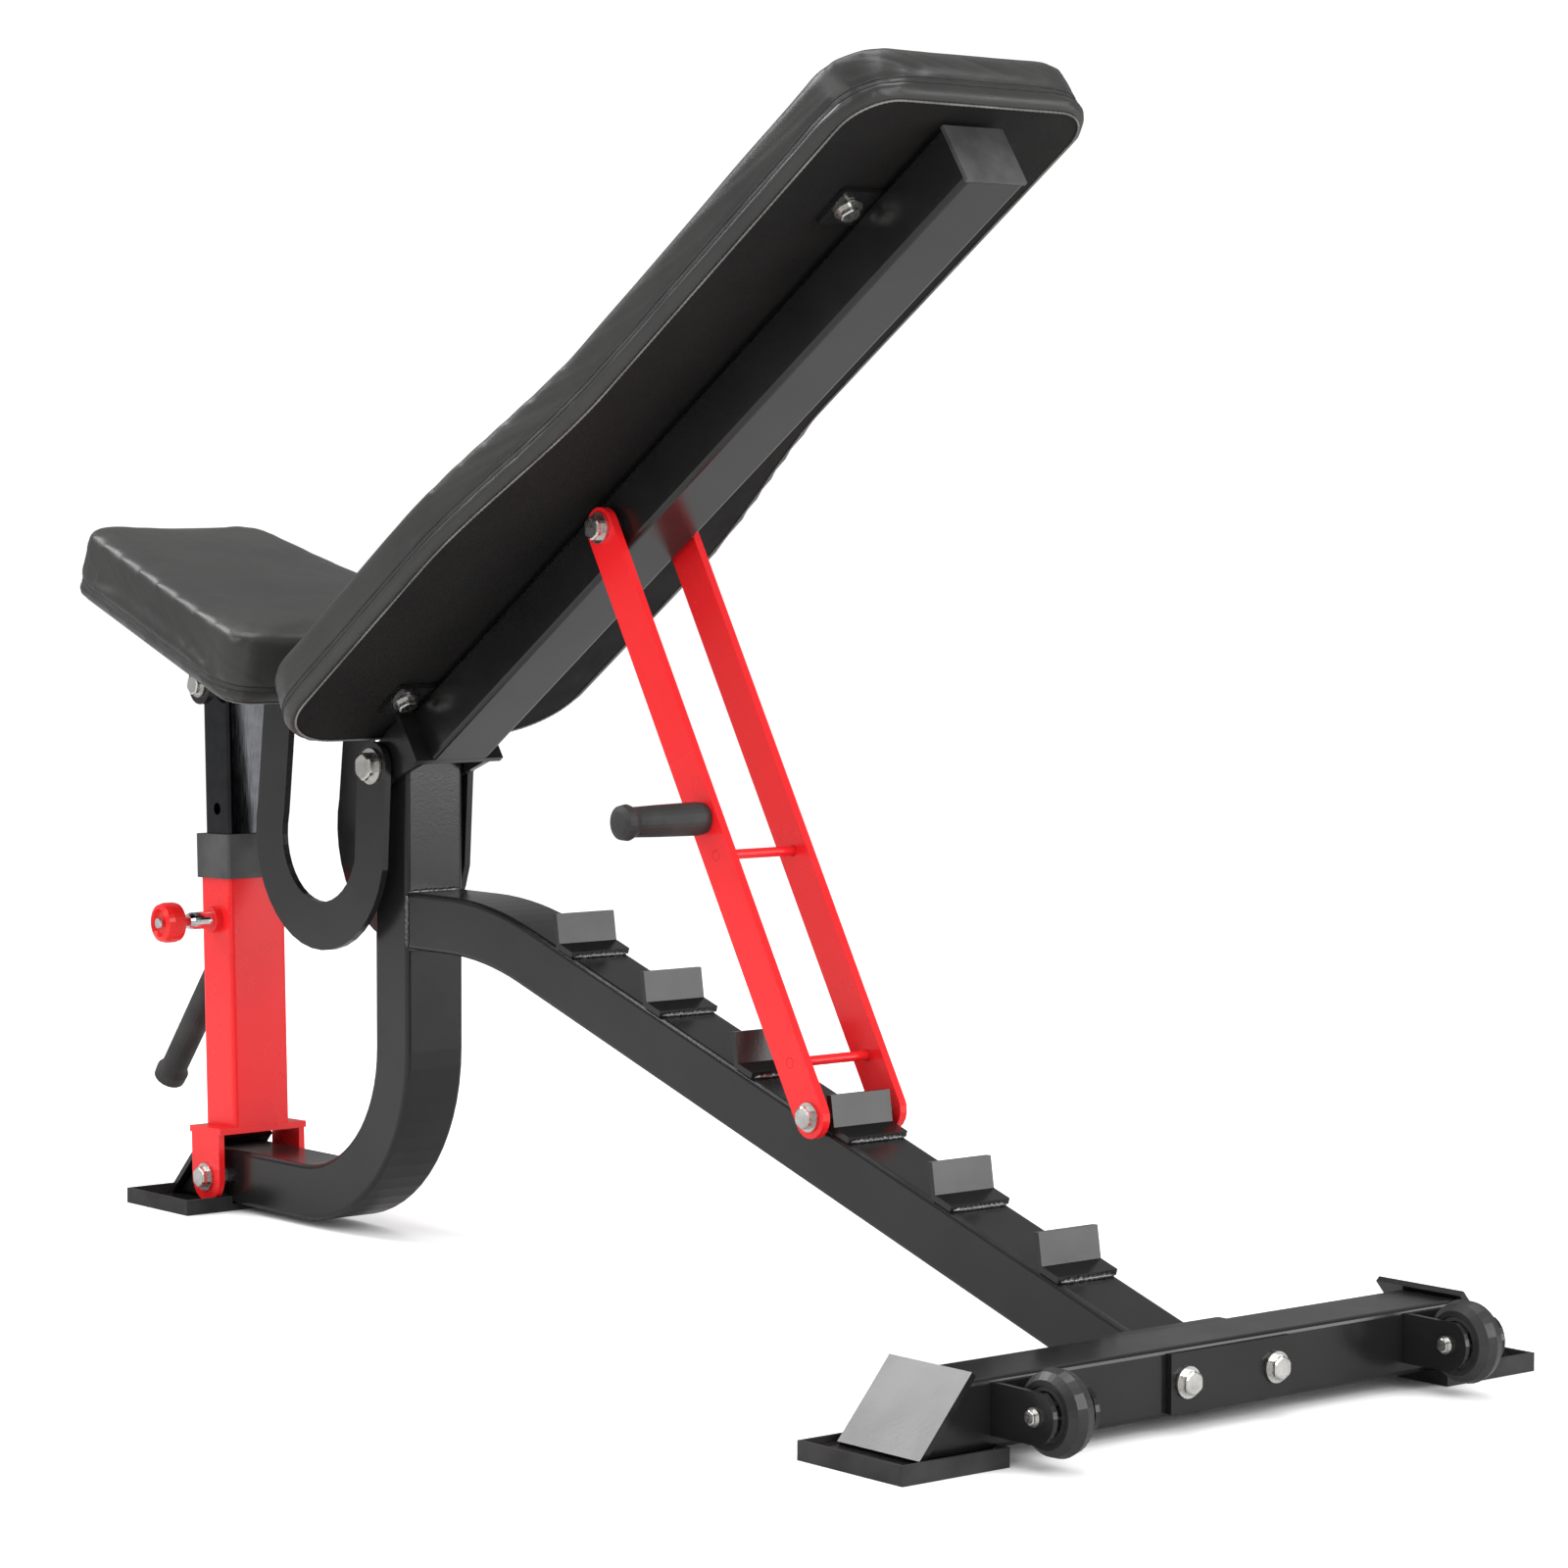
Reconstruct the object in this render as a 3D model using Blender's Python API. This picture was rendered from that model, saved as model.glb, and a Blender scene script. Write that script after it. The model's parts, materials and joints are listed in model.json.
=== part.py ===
"""Adjustable weight bench: curved steel upright, ladder beam with six hooks, rear crossbar with
transport wheels, tilting backrest held by a two-bar strut, and a tilting seat on a telescopic post.

Metres, +Z up. +X points to the head end (the rear), -X to the seat end. The origin is on the floor
under the middle of the bench. Each moving group hangs from an empty that lies on its joint's axis.
"""
import math

import bmesh
import bpy
from mathutils import Matrix, Vector

# Overall placing: lengths along X below are measured from the rear face of the crossbar.
BENCH_MIDDLE_X = -0.6738      # the middle of the bench, which becomes x = 0
GAP = 0.0003                  # between two pieces that touch
RUN = 0.0003                  # radial play of a bolt in its hole

# Steel tube
TUBE_WIDTH = 0.060            # across the bench, along Y
TUBE_DEPTH = 0.050
TUBE_WALL = 0.0025
TUBE_CORNER = 0.004

# Upright: a tube that rises from the front foot through a quarter bend
UPRIGHT_REAR_X = -0.971
UPRIGHT_TOP_Z = 0.4345
UPRIGHT_FOOT_Z = 0.0066       # underside of its foot
UPRIGHT_FRONT_X = -1.317
UPRIGHT_BEND = 0.142          # radius of the centre line

# Ladder beam: level where it leaves the upright, then sloping down to the crossbar
BEAM_TOP_Z = 0.314
BEAM_SLOPE = 18.06
BEAM_END_X = -0.076           # where its top face comes down to the crossbar's height
BEAM_BEND = 0.350
FLANGE_THICKNESS = 0.008
HOOKS = 6
HOOK_PITCH = 0.124
HOOK_FIRST = 0.0882           # rear face of the lowest hook's foot, along the slope from the end
HOOK_LEAN = 27.0              # of the lip, towards the seat
HOOK_HEIGHT = 0.0276
HOOK_STEEL = 0.005
HOOK_FLANGE = 0.016
PIN_RADIUS = 0.0075
PIN_AHEAD = 0.0190            # from the foot of a lip's rear face to a seated pin's centre
SEATED_HOOK = 3               # the strut's pin rests in the fourth hook from the top

# Crossbar, feet and wheels
CROSSBAR_DEPTH = 0.060
CROSSBAR_TOP_Z = 0.0606
CROSSBAR_HEIGHT = 0.050
CROSSBAR_HALF = 0.243         # to the top edge of an end plate
END_PLATE_SPREAD = 0.047      # how far out the foot of an end plate stands from its top
END_PLATE_X = (-0.082, 0.003)
FOOT_STEEL = 0.005
FOOT_RUBBER = 0.005
FOOT_RIM_Z = 0.014
FOOT_RIM = 0.003
REAR_FOOT_X = (-0.097, 0.012)
REAR_FOOT_Y = (0.220, 0.317)
FRONT_FOOT_X = (-1.356, -1.252)
FRONT_FOOT_HALF = 0.080
FRONT_PLATE_X = (-1.346, -1.290)
CLAMP_BOLT_Y = 0.0445
WHEEL_Y = 0.205
WHEEL_X = 0.0424
WHEEL_Z = 0.0402
WHEEL_RADIUS = 0.031
WHEEL_WIDTH = 0.024
WHEEL_HUB = 0.0195
FORK_HALF = 0.0215
FORK_STEEL = 0.004

# The pivot that the backrest and the seat share
PIVOT_X = -1.000
PIVOT_Z = 0.423
PIVOT_BOLT = 0.008

# Backrest, in its own frame: X along its tube from the pivot, Z out of the pad
BACKREST_ANGLE = 33.9
BACK_TUBE_X = (0.060, 0.882)
BACK_TUBE_Z = (-0.031, 0.019)
YOKE_STEEL = 0.006
YOKE_HALF = 0.038
YOKE_ROUND = 0.020
PAD_BRACKET_X = (0.077, 0.781)
PAD_BOLT_Y = 0.048
PAD_UNDER_Z = 0.0240
BOARD = 0.012
BOARD_INSET = 0.006
BACK_PAD_X = (-0.003, 0.912)
BACK_PAD_TOP = 0.0735
BACK_PAD_HALF = (0.154, 0.125)        # low end, head end
BACK_PAD_TAPER = (0.280, 0.530)       # where the taper starts and ends
BACK_PAD_CORNERS = (0.072, 0.046)
STRUT_X = 0.3836                      # top bolt of the strut, on the tube's axis

# Strut
STRUT_BAR_Y = (0.036, 0.043)
STRUT_BAR_HALF = 0.017
STRUT_RODS = (0.299, 0.480)
STRUT_ROD_RADIUS = 0.004
STRUT_GRIP_X = 0.266
STRUT_GRIP_LENGTH = 0.084
M12 = 0.006

# Seat, in its own frame: X points back to the pivot, Z out of the pad
SEAT_ANGLE = 16.07
SEAT_TUBE_X = (-0.405, -0.125)
SEAT_TUBE_HEIGHT = 0.025
SEAT_TUBE_HALF = 0.026
SEAT_BOLT = (-0.2904, -0.0195)
SEAT_EAR_Y = (0.037, 0.043)
SEAT_PAD_X = (-0.446, -0.094)
SEAT_PAD_HALF = (0.100, 0.143)        # front, rear
SEAT_PAD_UNDER = 0.0256
SEAT_PAD_TOP = 0.0885
SEAT_PAD_CORNERS = (0.030, 0.032)
LINK_STEEL = 0.006
LINK_INNER_Y = 0.041
LINK_HALF_WIDTH = 0.0215
LINK_BEND = (-0.061, -0.086, 0.080)   # centre x, z and radius of the U, on its centre line
LINK_TOP = (-0.158, 0.019)

# Telescopic post, in its own frame: Z up along the post from its base bolt
POST_X = -1.2715
POST_Z = 0.031
POST_LEAN = 1.63
POST_TUBE_Z = (0.045, 0.275)
POST_COLLAR_TOP = 0.316
INNER_POST_Z = (0.155, 0.466)
INNER_HALF = (0.0214, 0.0264)
SEAT_BOLT_Z = 0.4538
SEAT_BOLT_SLACK = 0.0092              # wide hole: the seat's arc is not quite a straight line
PIN_HOLE_Z = 0.237
PIN_HOLE_PITCH = 0.051
PIN_HOLES = 3
FORK_INNER_Y = 0.041
PIN_NOSE_Y = 0.0267                   # just short of the inner post
HANDLE_Z = 0.208
HANDLE_ANGLE = 49.4
HANDLE_LENGTH = 0.172
HANDLE_BARE = 0.030

ROUND = 24                            # sides of a turned piece
M12_HOLE = M12 + RUN


# ---------------------------------------------------------------- scene helpers

def clear_scene():
    for old in list(bpy.data.objects):
        bpy.data.objects.remove(old, do_unlink=True)


def material(name, colour, roughness, metallic=0.0):
    made = bpy.data.materials.new(name)
    made.use_nodes = True
    shader = made.node_tree.nodes["Principled BSDF"]
    shader.inputs["Base Color"].default_value = (*colour, 1.0)
    shader.inputs["Roughness"].default_value = roughness
    shader.inputs["Metallic"].default_value = metallic
    made.diffuse_color = (*colour, 1.0)
    return made


def pivot(name, x, z, tilt=0.0, parent=None):
    """An empty on a joint's axis. A positive tilt in degrees turns its +X axis downwards."""
    made = bpy.data.objects.new(name, None)
    made.empty_display_size = 0.05
    made.location = (x, 0.0, z)
    made.rotation_euler = (0.0, math.radians(tilt), 0.0)
    made.parent = parent
    bpy.context.scene.collection.objects.link(made)
    return made


def piece(name, bm, parent, finish, smooth=False):
    """One solid object made from a bmesh, with its normals facing out."""
    bmesh.ops.recalc_face_normals(bm, faces=bm.faces)
    mesh = bpy.data.meshes.new(name)
    bm.to_mesh(mesh)
    bm.free()
    mesh.materials.append(finish)
    if smooth:
        mesh.shade_smooth()
        mesh.set_sharp_from_angle(angle=math.radians(35))
    made = bpy.data.objects.new(name, mesh)
    made.parent = parent
    bpy.context.scene.collection.objects.link(made)
    return made


def cutter(name, bm, parent):
    made = piece(name, bm, parent, STEEL_BLACK)
    made.hide_render = True
    made.display_type = "WIRE"
    return made


def boolean(target, other, operation):
    modifier = target.modifiers.new(other.name, "BOOLEAN")
    modifier.operation = operation
    modifier.object = other
    modifier.solver = "EXACT"


def drill(target, holes, half=0.4):
    """Cuts round holes that run along Y. Each hole is (x, z, radius) in the target's own frame."""
    for index, (x, z, radius) in enumerate(holes):
        bm = turned([(0, -half), (radius, -half), (radius, half), (0, half)])
        bmesh.ops.translate(bm, vec=(x, 0, z), verts=bm.verts)
        boolean(target, cutter(f"{target.name}_hole_{index}", bm, target.parent), "DIFFERENCE")


def weld(target, others):
    """Unites helper shapes with the target, as welded steel is one piece."""
    for other in others:
        other.hide_render = True
        other.display_type = "WIRE"
        boolean(target, other, "UNION")


# ---------------------------------------------------------------- shapes

def join_rings(bm, rings, close_ends=True):
    """Skins a list of equal rings of points and returns the rings' vertices."""
    made = [[bm.verts.new(point) for point in ring] for ring in rings]
    for a, b in zip(made, made[1:]):
        for i in range(len(a)):
            j = (i + 1) % len(a)
            bm.faces.new((a[i], a[j], b[j], b[i]))
    if close_ends:
        bm.faces.new(made[0])
        bm.faces.new(reversed(made[-1]))
    return made


def prism(outline, y0, y1):
    """An outline of (x, z) points, extruded along Y."""
    bm = bmesh.new()
    join_rings(bm, [[(x, y, z) for x, z in outline] for y in (y0, y1)])
    return bm


def slab(outline, z0, z1):
    """An outline of (x, y) points, extruded along Z."""
    bm = bmesh.new()
    join_rings(bm, [[(x, y, z) for x, y in outline] for z in (z0, z1)])
    return bm


def block(x, y, z):
    """A plain block between two limits on each axis."""
    return slab([(x[0], y[0]), (x[1], y[0]), (x[1], y[1]), (x[0], y[1])], *z)


def turned(profile, sides=ROUND, flats=None):
    """A solid turned about Y from (radius, y) points. Bands listed in flats are hexagonal."""
    bm = bmesh.new()
    rings = []
    for index, (radius, y) in enumerate(profile):
        ring = []
        for k in range(sides):
            angle = math.tau * (k + 0.5) / sides
            reach = radius
            if flats and index in flats:
                off = (angle + math.pi / 6) % (math.pi / 3) - math.pi / 6
                reach = radius * math.cos(math.pi / 6) / math.cos(off)
            ring.append((reach * math.cos(angle), y, reach * math.sin(angle)))
        rings.append(ring)
    if profile[0][0] == 0:
        rings = rings[1:-1]
    join_rings(bm, rings)
    return bm


def ring_of(profile, sides=ROUND):
    """A closed ring turned about Y from a closed loop of (radius, y) points."""
    bm = bmesh.new()
    spokes = []
    for k in range(sides):
        angle = math.tau * (k + 0.5) / sides
        c, s = math.cos(angle), math.sin(angle)
        spokes.append([(r * c, y, r * s) for r, y in profile])
    join_rings(bm, spokes + spokes[:1], close_ends=False)
    bmesh.ops.remove_doubles(bm, verts=bm.verts, dist=1e-6)
    return bm


def arc(cx, cz, radius, start, stop, steps):
    """Points on an arc, with its angles in degrees."""
    points = []
    for k in range(steps + 1):
        angle = math.radians(start + (stop - start) * k / steps)
        points.append((cx + radius * math.cos(angle), cz + radius * math.sin(angle)))
    return points


def rounded_rectangle(a0, a1, b0, b1, radius, steps=3):
    return (arc(a1 - radius, b1 - radius, radius, 0, 90, steps)
            + arc(a0 + radius, b1 - radius, radius, 90, 180, steps)
            + arc(a0 + radius, b0 + radius, radius, 180, 270, steps)
            + arc(a1 - radius, b0 + radius, radius, 270, 360, steps))


def stadium(length, half):
    return arc(length, 0, half, -90, 90, 10) + arc(0, 0, half, 90, 270, 10)


def hollow_skin(outer, inner):
    """A tube from matching lists of outer and inner rings, open at both ends."""
    bm = bmesh.new()
    out = join_rings(bm, outer, close_ends=False)
    into = join_rings(bm, inner, close_ends=False)
    for a, b in ((out[0], into[0]), (out[-1], into[-1])):
        for i in range(len(a)):
            j = (i + 1) % len(a)
            bm.faces.new((a[i], a[j], b[j], b[i]))
    return bm


def straight_tube(x, half_y, z, wall, corner=TUBE_CORNER):
    """A hollow tube along X between two ends, open at both."""
    def rings(inset):
        profile = rounded_rectangle(-half_y + inset, half_y - inset, z[0] + inset, z[1] - inset,
                                    max(corner - inset, 0.001))
        return [[(end, a, b) for a, b in profile] for end in x]
    return hollow_skin(rings(0.0), rings(wall))


def upright_tube_z(half_x, half_y, z, wall, corner=TUBE_CORNER):
    """A hollow tube along Z between two ends, open at both."""
    def rings(inset):
        profile = rounded_rectangle(-half_x + inset, half_x - inset, -half_y + inset,
                                    half_y - inset, max(corner - inset, 0.001))
        return [[(a, b, end) for a, b in profile] for end in z]
    return hollow_skin(rings(0.0), rings(wall))


def bent_tube(path, slants):
    """The standard tube along a path of (x, z) points. Its ends are cut at dx per dz slants."""
    def rings(inset):
        profile = rounded_rectangle(-TUBE_WIDTH / 2 + inset, TUBE_WIDTH / 2 - inset,
                                    -TUBE_DEPTH / 2 + inset, TUBE_DEPTH / 2 - inset,
                                    TUBE_CORNER - inset)
        made = []
        for i, point in enumerate(path):
            before, after = path[max(i - 1, 0)], path[min(i + 1, len(path) - 1)]
            along = (Vector(after) - Vector(before)).normalized()
            up = Vector((-along.y, along.x))
            ring = []
            for side, height in profile:
                place = Vector(point) + up * height
                slant = slants[0] if i == 0 else slants[1] if i == len(path) - 1 else None
                if slant is not None:
                    slip = (slant * (place.y - point[1]) - (place.x - point[0]))
                    place += along * slip / (along.x - slant * along.y)
                ring.append((place.x, side, place.y))
            made.append(ring)
        return made
    return hollow_skin(rings(0.0), rings(TUBE_WALL))


def stroke(points, half, cap_steps=10):
    """The outline of a flat bar along a path, with a round end at its first point."""
    path = [Vector(p) for p in points]
    left, right = [], []
    for i, point in enumerate(path):
        along = (path[min(i + 1, len(path) - 1)] - path[max(i - 1, 0)]).normalized()
        side = Vector((-along.y, along.x)) * half
        left.append(tuple(point + side))
        right.append(tuple(point - side))
    start = Vector(left[0]) - path[0]
    turn = math.degrees(math.atan2(start.y, start.x))
    cap = arc(path[0].x, path[0].y, half, turn, turn + 180, cap_steps)
    return left[::-1] + cap[1:-1] + right


def smooth_step(value, low, high):
    t = min(max((value - low) / (high - low), 0.0), 1.0)
    return t * t * (3 - 2 * t)


def pad_outline(x, half_at, corners, inset=0.0, steps=16):
    """A symmetric pad outline of (x, y) points. half_at gives the half width at a place along X,
    and corners the radius of the two rounded corners at each end."""
    x0, x1 = x[0] + inset, x[1] - inset
    stations = set()
    for k in range(9):
        ease = 1 - math.cos(math.radians(90 * k / 8))
        stations.add(round(x0 + corners[0] * ease, 6))
        stations.add(round(x1 - corners[1] * ease, 6))
    for k in range(1, steps):
        at = x0 + corners[0] + (x1 - corners[1] - x0 - corners[0]) * k / steps
        stations.add(round(at, 6))
    side = []
    for at in sorted(stations):
        cut = 0.0
        for corner, depth in ((corners[0], at - x0), (corners[1], x1 - at)):
            if depth < corner:
                cut = corner - math.sqrt(max(corner * corner - (corner - depth) ** 2, 0.0))
        side.append((at, half_at(at) - inset - cut))
    return side + [(at, -half) for at, half in reversed(side)]


def bolt_profile(reach, shank, head, washer=0.002, collar=None):
    """(radius, y) points of a bolt across a joint: washer and hex head at one end, washer and nut
    at the other. The washers' inner faces lie at -reach and +reach. A collar is (radius, y0, y1)
    on both sides of the middle."""
    height = head * 0.62
    half = [(shank, reach), (head * 1.22, reach), (head * 1.22, reach + washer),
            (head, reach + washer), (head, reach + washer + height * 0.85),
            (head * 0.86, reach + washer + height)]
    if collar:
        half = [(shank, collar[1]), (collar[0], collar[1]), (collar[0], collar[2]),
                (shank, collar[2])] + half
    full = [(r, -y) for r, y in reversed(half)] + half
    hexes = [i for i, (r, y) in enumerate(full) if abs(r - head) < 1e-9 or abs(r - head * 0.86) < 1e-9]
    return full, hexes


def through_bolt(name, parent, x, z, reach, shank, head, collar=None):
    profile, hexes = bolt_profile(reach, shank, head, collar=collar)
    bm = turned(profile, flats=hexes)
    bmesh.ops.translate(bm, vec=(x, 0, z), verts=bm.verts)
    return piece(name, bm, parent, ZINC, smooth=True)


# ---------------------------------------------------------------- fixed frame

def build_upright(bench):
    centre_x = UPRIGHT_REAR_X - TUBE_DEPTH / 2
    foot_z = UPRIGHT_FOOT_Z + TUBE_DEPTH / 2
    bend_x, bend_z = centre_x - UPRIGHT_BEND, foot_z + UPRIGHT_BEND
    path = [(UPRIGHT_FRONT_X, foot_z)] + arc(bend_x, bend_z, UPRIGHT_BEND, -90, 0, 16)
    path.append((centre_x, UPRIGHT_TOP_Z))
    front_slant = ((FRONT_PLATE_X[1] - FRONT_PLATE_X[0])
                   / (0.062 - FOOT_STEEL - FOOT_RUBBER))
    tube = piece("upright_tube", bent_tube(path, (front_slant, None)), bench, STEEL_BLACK, True)
    drill(tube, [(PIVOT_X, PIVOT_Z, PIVOT_BOLT + RUN), (POST_X, POST_Z, M12_HOLE)])
    rim, inner = TUBE_DEPTH / 2 - 0.003, TUBE_DEPTH / 2 - TUBE_WALL - 0.001
    cap = piece("upright_cap", block((centre_x - rim, centre_x + rim), (-0.029, 0.029),
                                     (UPRIGHT_TOP_Z + GAP, UPRIGHT_TOP_Z + 0.002)), bench, PLASTIC)
    plug = cutter("upright_cap_plug",
                  block((centre_x - inner, centre_x + inner), (-0.0265, 0.0265),
                        (UPRIGHT_TOP_Z - 0.003, UPRIGHT_TOP_Z + 0.001)), bench)
    weld(cap, [plug])


def build_beam(bench):
    slope = math.radians(BEAM_SLOPE)
    half = TUBE_DEPTH / 2
    level_z = BEAM_TOP_Z - half
    run = (BEAM_TOP_Z - CROSSBAR_TOP_Z) / math.tan(slope)
    corner_x = BEAM_END_X - run - half * math.tan(slope / 2)
    cut = BEAM_BEND * math.tan(slope / 2)
    path = [(UPRIGHT_REAR_X + GAP, level_z)]
    path += arc(corner_x - cut, level_z - BEAM_BEND, BEAM_BEND, 90, 90 - BEAM_SLOPE, 8)
    end_x = -CROSSBAR_DEPTH - FLANGE_THICKNESS - 2 * GAP
    end_z = level_z - (end_x - corner_x) * math.tan(slope)
    path.append((end_x, end_z))
    piece("ladder_beam", bent_tube(path, (0.0, 0.0)), bench, STEEL_BLACK, True)


def build_hooks(bench):
    ladder = pivot("ladder_line", BEAM_END_X, CROSSBAR_TOP_Z, BEAM_SLOPE, bench)
    lean = math.tan(math.radians(HOOK_LEAN))
    edge = HOOK_STEEL / math.cos(math.radians(HOOK_LEAN))
    for index in range(HOOKS):
        foot = -HOOK_FIRST - HOOK_PITCH * (HOOKS - 1 - index)
        low, top = GAP, HOOK_HEIGHT
        outline = [(foot + HOOK_FLANGE, low), (foot + HOOK_FLANGE, low + HOOK_STEEL),
                   (foot - (low + HOOK_STEEL) * lean, low + HOOK_STEEL), (foot - top * lean, top),
                   (foot - top * lean - edge * 0.9, top - 0.002), (foot - edge - low * lean, low)]
        piece(f"ladder_hook_{index + 1}", prism(outline, -0.030, 0.030), ladder, STEEL_BLACK)
    return ladder


def seated_pin(hook_from_bottom):
    """World x and z, before the bench is centred, of the strut's pin in a hook."""
    slope = math.radians(BEAM_SLOPE)
    along = HOOK_FIRST + HOOK_PITCH * hook_from_bottom + PIN_AHEAD
    up = PIN_RADIUS + GAP + 0.0002
    return (BEAM_END_X - along * math.cos(slope) + up * math.sin(slope),
            CROSSBAR_TOP_Z + along * math.sin(slope) + up * math.cos(slope))


def build_crossbar(bench):
    top, low = CROSSBAR_TOP_Z, CROSSBAR_TOP_Z - CROSSBAR_HEIGHT
    spread = END_PLATE_SPREAD / (0.064 - 2 * FOOT_STEEL)

    def rings(inset):
        profile = rounded_rectangle(-CROSSBAR_DEPTH + inset, -inset, low + inset, top - inset,
                                    TUBE_CORNER - inset)
        reach = CROSSBAR_HALF - 0.001
        return [[(x, sign * (reach + (0.064 - z) * spread), z) for x, z in profile]
                for sign in (-1, 1)]

    bar = piece("rear_crossbar", hollow_skin(rings(0.0), rings(TUBE_WALL)), bench, STEEL_BLACK, True)
    middle = (top + low) / 2
    front = -CROSSBAR_DEPTH - GAP
    flange = piece("beam_flange", block((front - FLANGE_THICKNESS, front), (-0.060, 0.060),
                                        (low, top - 0.001)), bench, STEEL_BLACK)
    plate = piece("rear_clamp_plate", block((GAP, 0.005), (-0.060, 0.060),
                                            (middle - 0.0215, middle + 0.0215)), bench, STEEL_BLACK)
    for side, word in ((-1, "left"), (1, "right")):
        y = side * CLAMP_BOLT_Y
        hole = turned([(0, -0.1), (0.0053, -0.1), (0.0053, 0.1), (0, 0.1)])
        bmesh.ops.rotate(hole, verts=hole.verts, matrix=Matrix.Rotation(math.radians(90), 3, "Z"))
        bmesh.ops.translate(hole, vec=(0, y, middle), verts=hole.verts)
        bore = cutter(f"clamp_hole_{word}", hole, bench)
        for target in (bar, flange, plate):
            boolean(target, bore, "DIFFERENCE")
        reach = (CROSSBAR_DEPTH + FLANGE_THICKNESS + GAP + 0.005) / 2 + GAP
        profile, hexes = bolt_profile(reach, 0.005, 0.0095)
        bm = turned(profile, flats=hexes)
        bmesh.ops.rotate(bm, verts=bm.verts, matrix=Matrix.Rotation(math.radians(-90), 3, "Z"))
        centre = (0.005 - CROSSBAR_DEPTH - FLANGE_THICKNESS - GAP) / 2
        bmesh.ops.translate(bm, vec=(centre, y, middle), verts=bm.verts)
        piece(f"clamp_bolt_{word}", bm, bench, ZINC, smooth=True)


def foot_pair(name, x, y, bench):
    """A rubber tray and, in it, the outline left for its steel plate."""
    tray = piece(f"{name}_pad", block(x, y, (0.0, FOOT_RIM_Z)), bench, RUBBER)
    low_x, high_x = x[0] + FOOT_RIM, x[1] - FOOT_RIM
    low_y, high_y = y[0] + FOOT_RIM, y[1] - FOOT_RIM
    recess = cutter(f"{name}_recess", block((low_x, high_x), (low_y, high_y),
                                            (FOOT_RUBBER, FOOT_RIM_Z + 0.01)), bench)
    boolean(tray, recess, "DIFFERENCE")
    return (low_x + GAP, high_x - GAP), (low_y + GAP, high_y - GAP)


def sloping_plate(start, end, thickness=0.005):
    """Cross section of a plate between two (across, z) points, its thickness on the outside."""
    along = (Vector(end) - Vector(start)).normalized()
    out = Vector((along.y, -along.x)) * thickness
    if out.x * (start[0] - end[0]) < 0:
        out = -out
    return [tuple(start), tuple(end), tuple(Vector(end) + out), tuple(Vector(start) + out)]


def build_feet(bench):
    plate_z = FOOT_RUBBER + GAP
    for side, word in ((-1, "left"), (1, "right")):
        name = f"rear_foot_{word}"
        y = sorted(side * value for value in REAR_FOOT_Y)
        inner_x, inner_y = foot_pair(name, REAR_FOOT_X, y, bench)
        notch = block((-CROSSBAR_DEPTH - GAP, GAP), sorted((side * 0.2, side * 0.25)),
                      (CROSSBAR_TOP_Z - CROSSBAR_HEIGHT - GAP, 0.05))
        boolean(bpy.data.objects[f"{name}_pad"], cutter(f"{name}_notch", notch, bench),
                "DIFFERENCE")
        base = piece(f"{name}_bracket", block(inner_x, inner_y, (plate_z, plate_z + FOOT_STEEL)),
                     bench, STEEL_BLACK)
        outline = sloping_plate((CROSSBAR_HALF + END_PLATE_SPREAD, plate_z + FOOT_STEEL - 0.001),
                                (CROSSBAR_HALF, 0.064))
        bm = bmesh.new()
        join_rings(bm, [[(x, side * across, z) for across, z in outline] for x in END_PLATE_X])
        weld(base, [cutter(f"{name}_end_plate", bm, bench)])
    plate_z = 0.0033
    tray = piece("front_foot_pad", block(FRONT_FOOT_X, (-FRONT_FOOT_HALF, FRONT_FOOT_HALF),
                                         (0.0, FOOT_RIM_Z)), bench, RUBBER)
    inside = [(FRONT_FOOT_X[0] + FOOT_RIM, FRONT_FOOT_X[1] - FOOT_RIM),
              (-FRONT_FOOT_HALF + FOOT_RIM, FRONT_FOOT_HALF - FOOT_RIM)]
    boolean(tray, cutter("front_foot_recess", block(*inside, (0.003, FOOT_RIM_Z + 0.01)), bench),
            "DIFFERENCE")
    half_tube = TUBE_WIDTH / 2 + 0.0005
    notch = block((FRONT_FOOT_X[1] - 0.02, FRONT_FOOT_X[1] + 0.02), (-half_tube, half_tube),
                  (UPRIGHT_FOOT_Z - GAP, 0.05))
    boolean(tray, cutter("front_foot_notch", notch, bench), "DIFFERENCE")
    flat = [(low + GAP, high - GAP) for low, high in inside]
    base = piece("front_foot_bracket", block(*flat, (plate_z, plate_z + 0.003)), bench, STEEL_BLACK)
    outline = sloping_plate((FRONT_PLATE_X[0], plate_z + 0.002), (FRONT_PLATE_X[1], 0.062))
    weld(base, [cutter("front_foot_end_plate", prism(outline, -0.038, 0.038), bench)])


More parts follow.
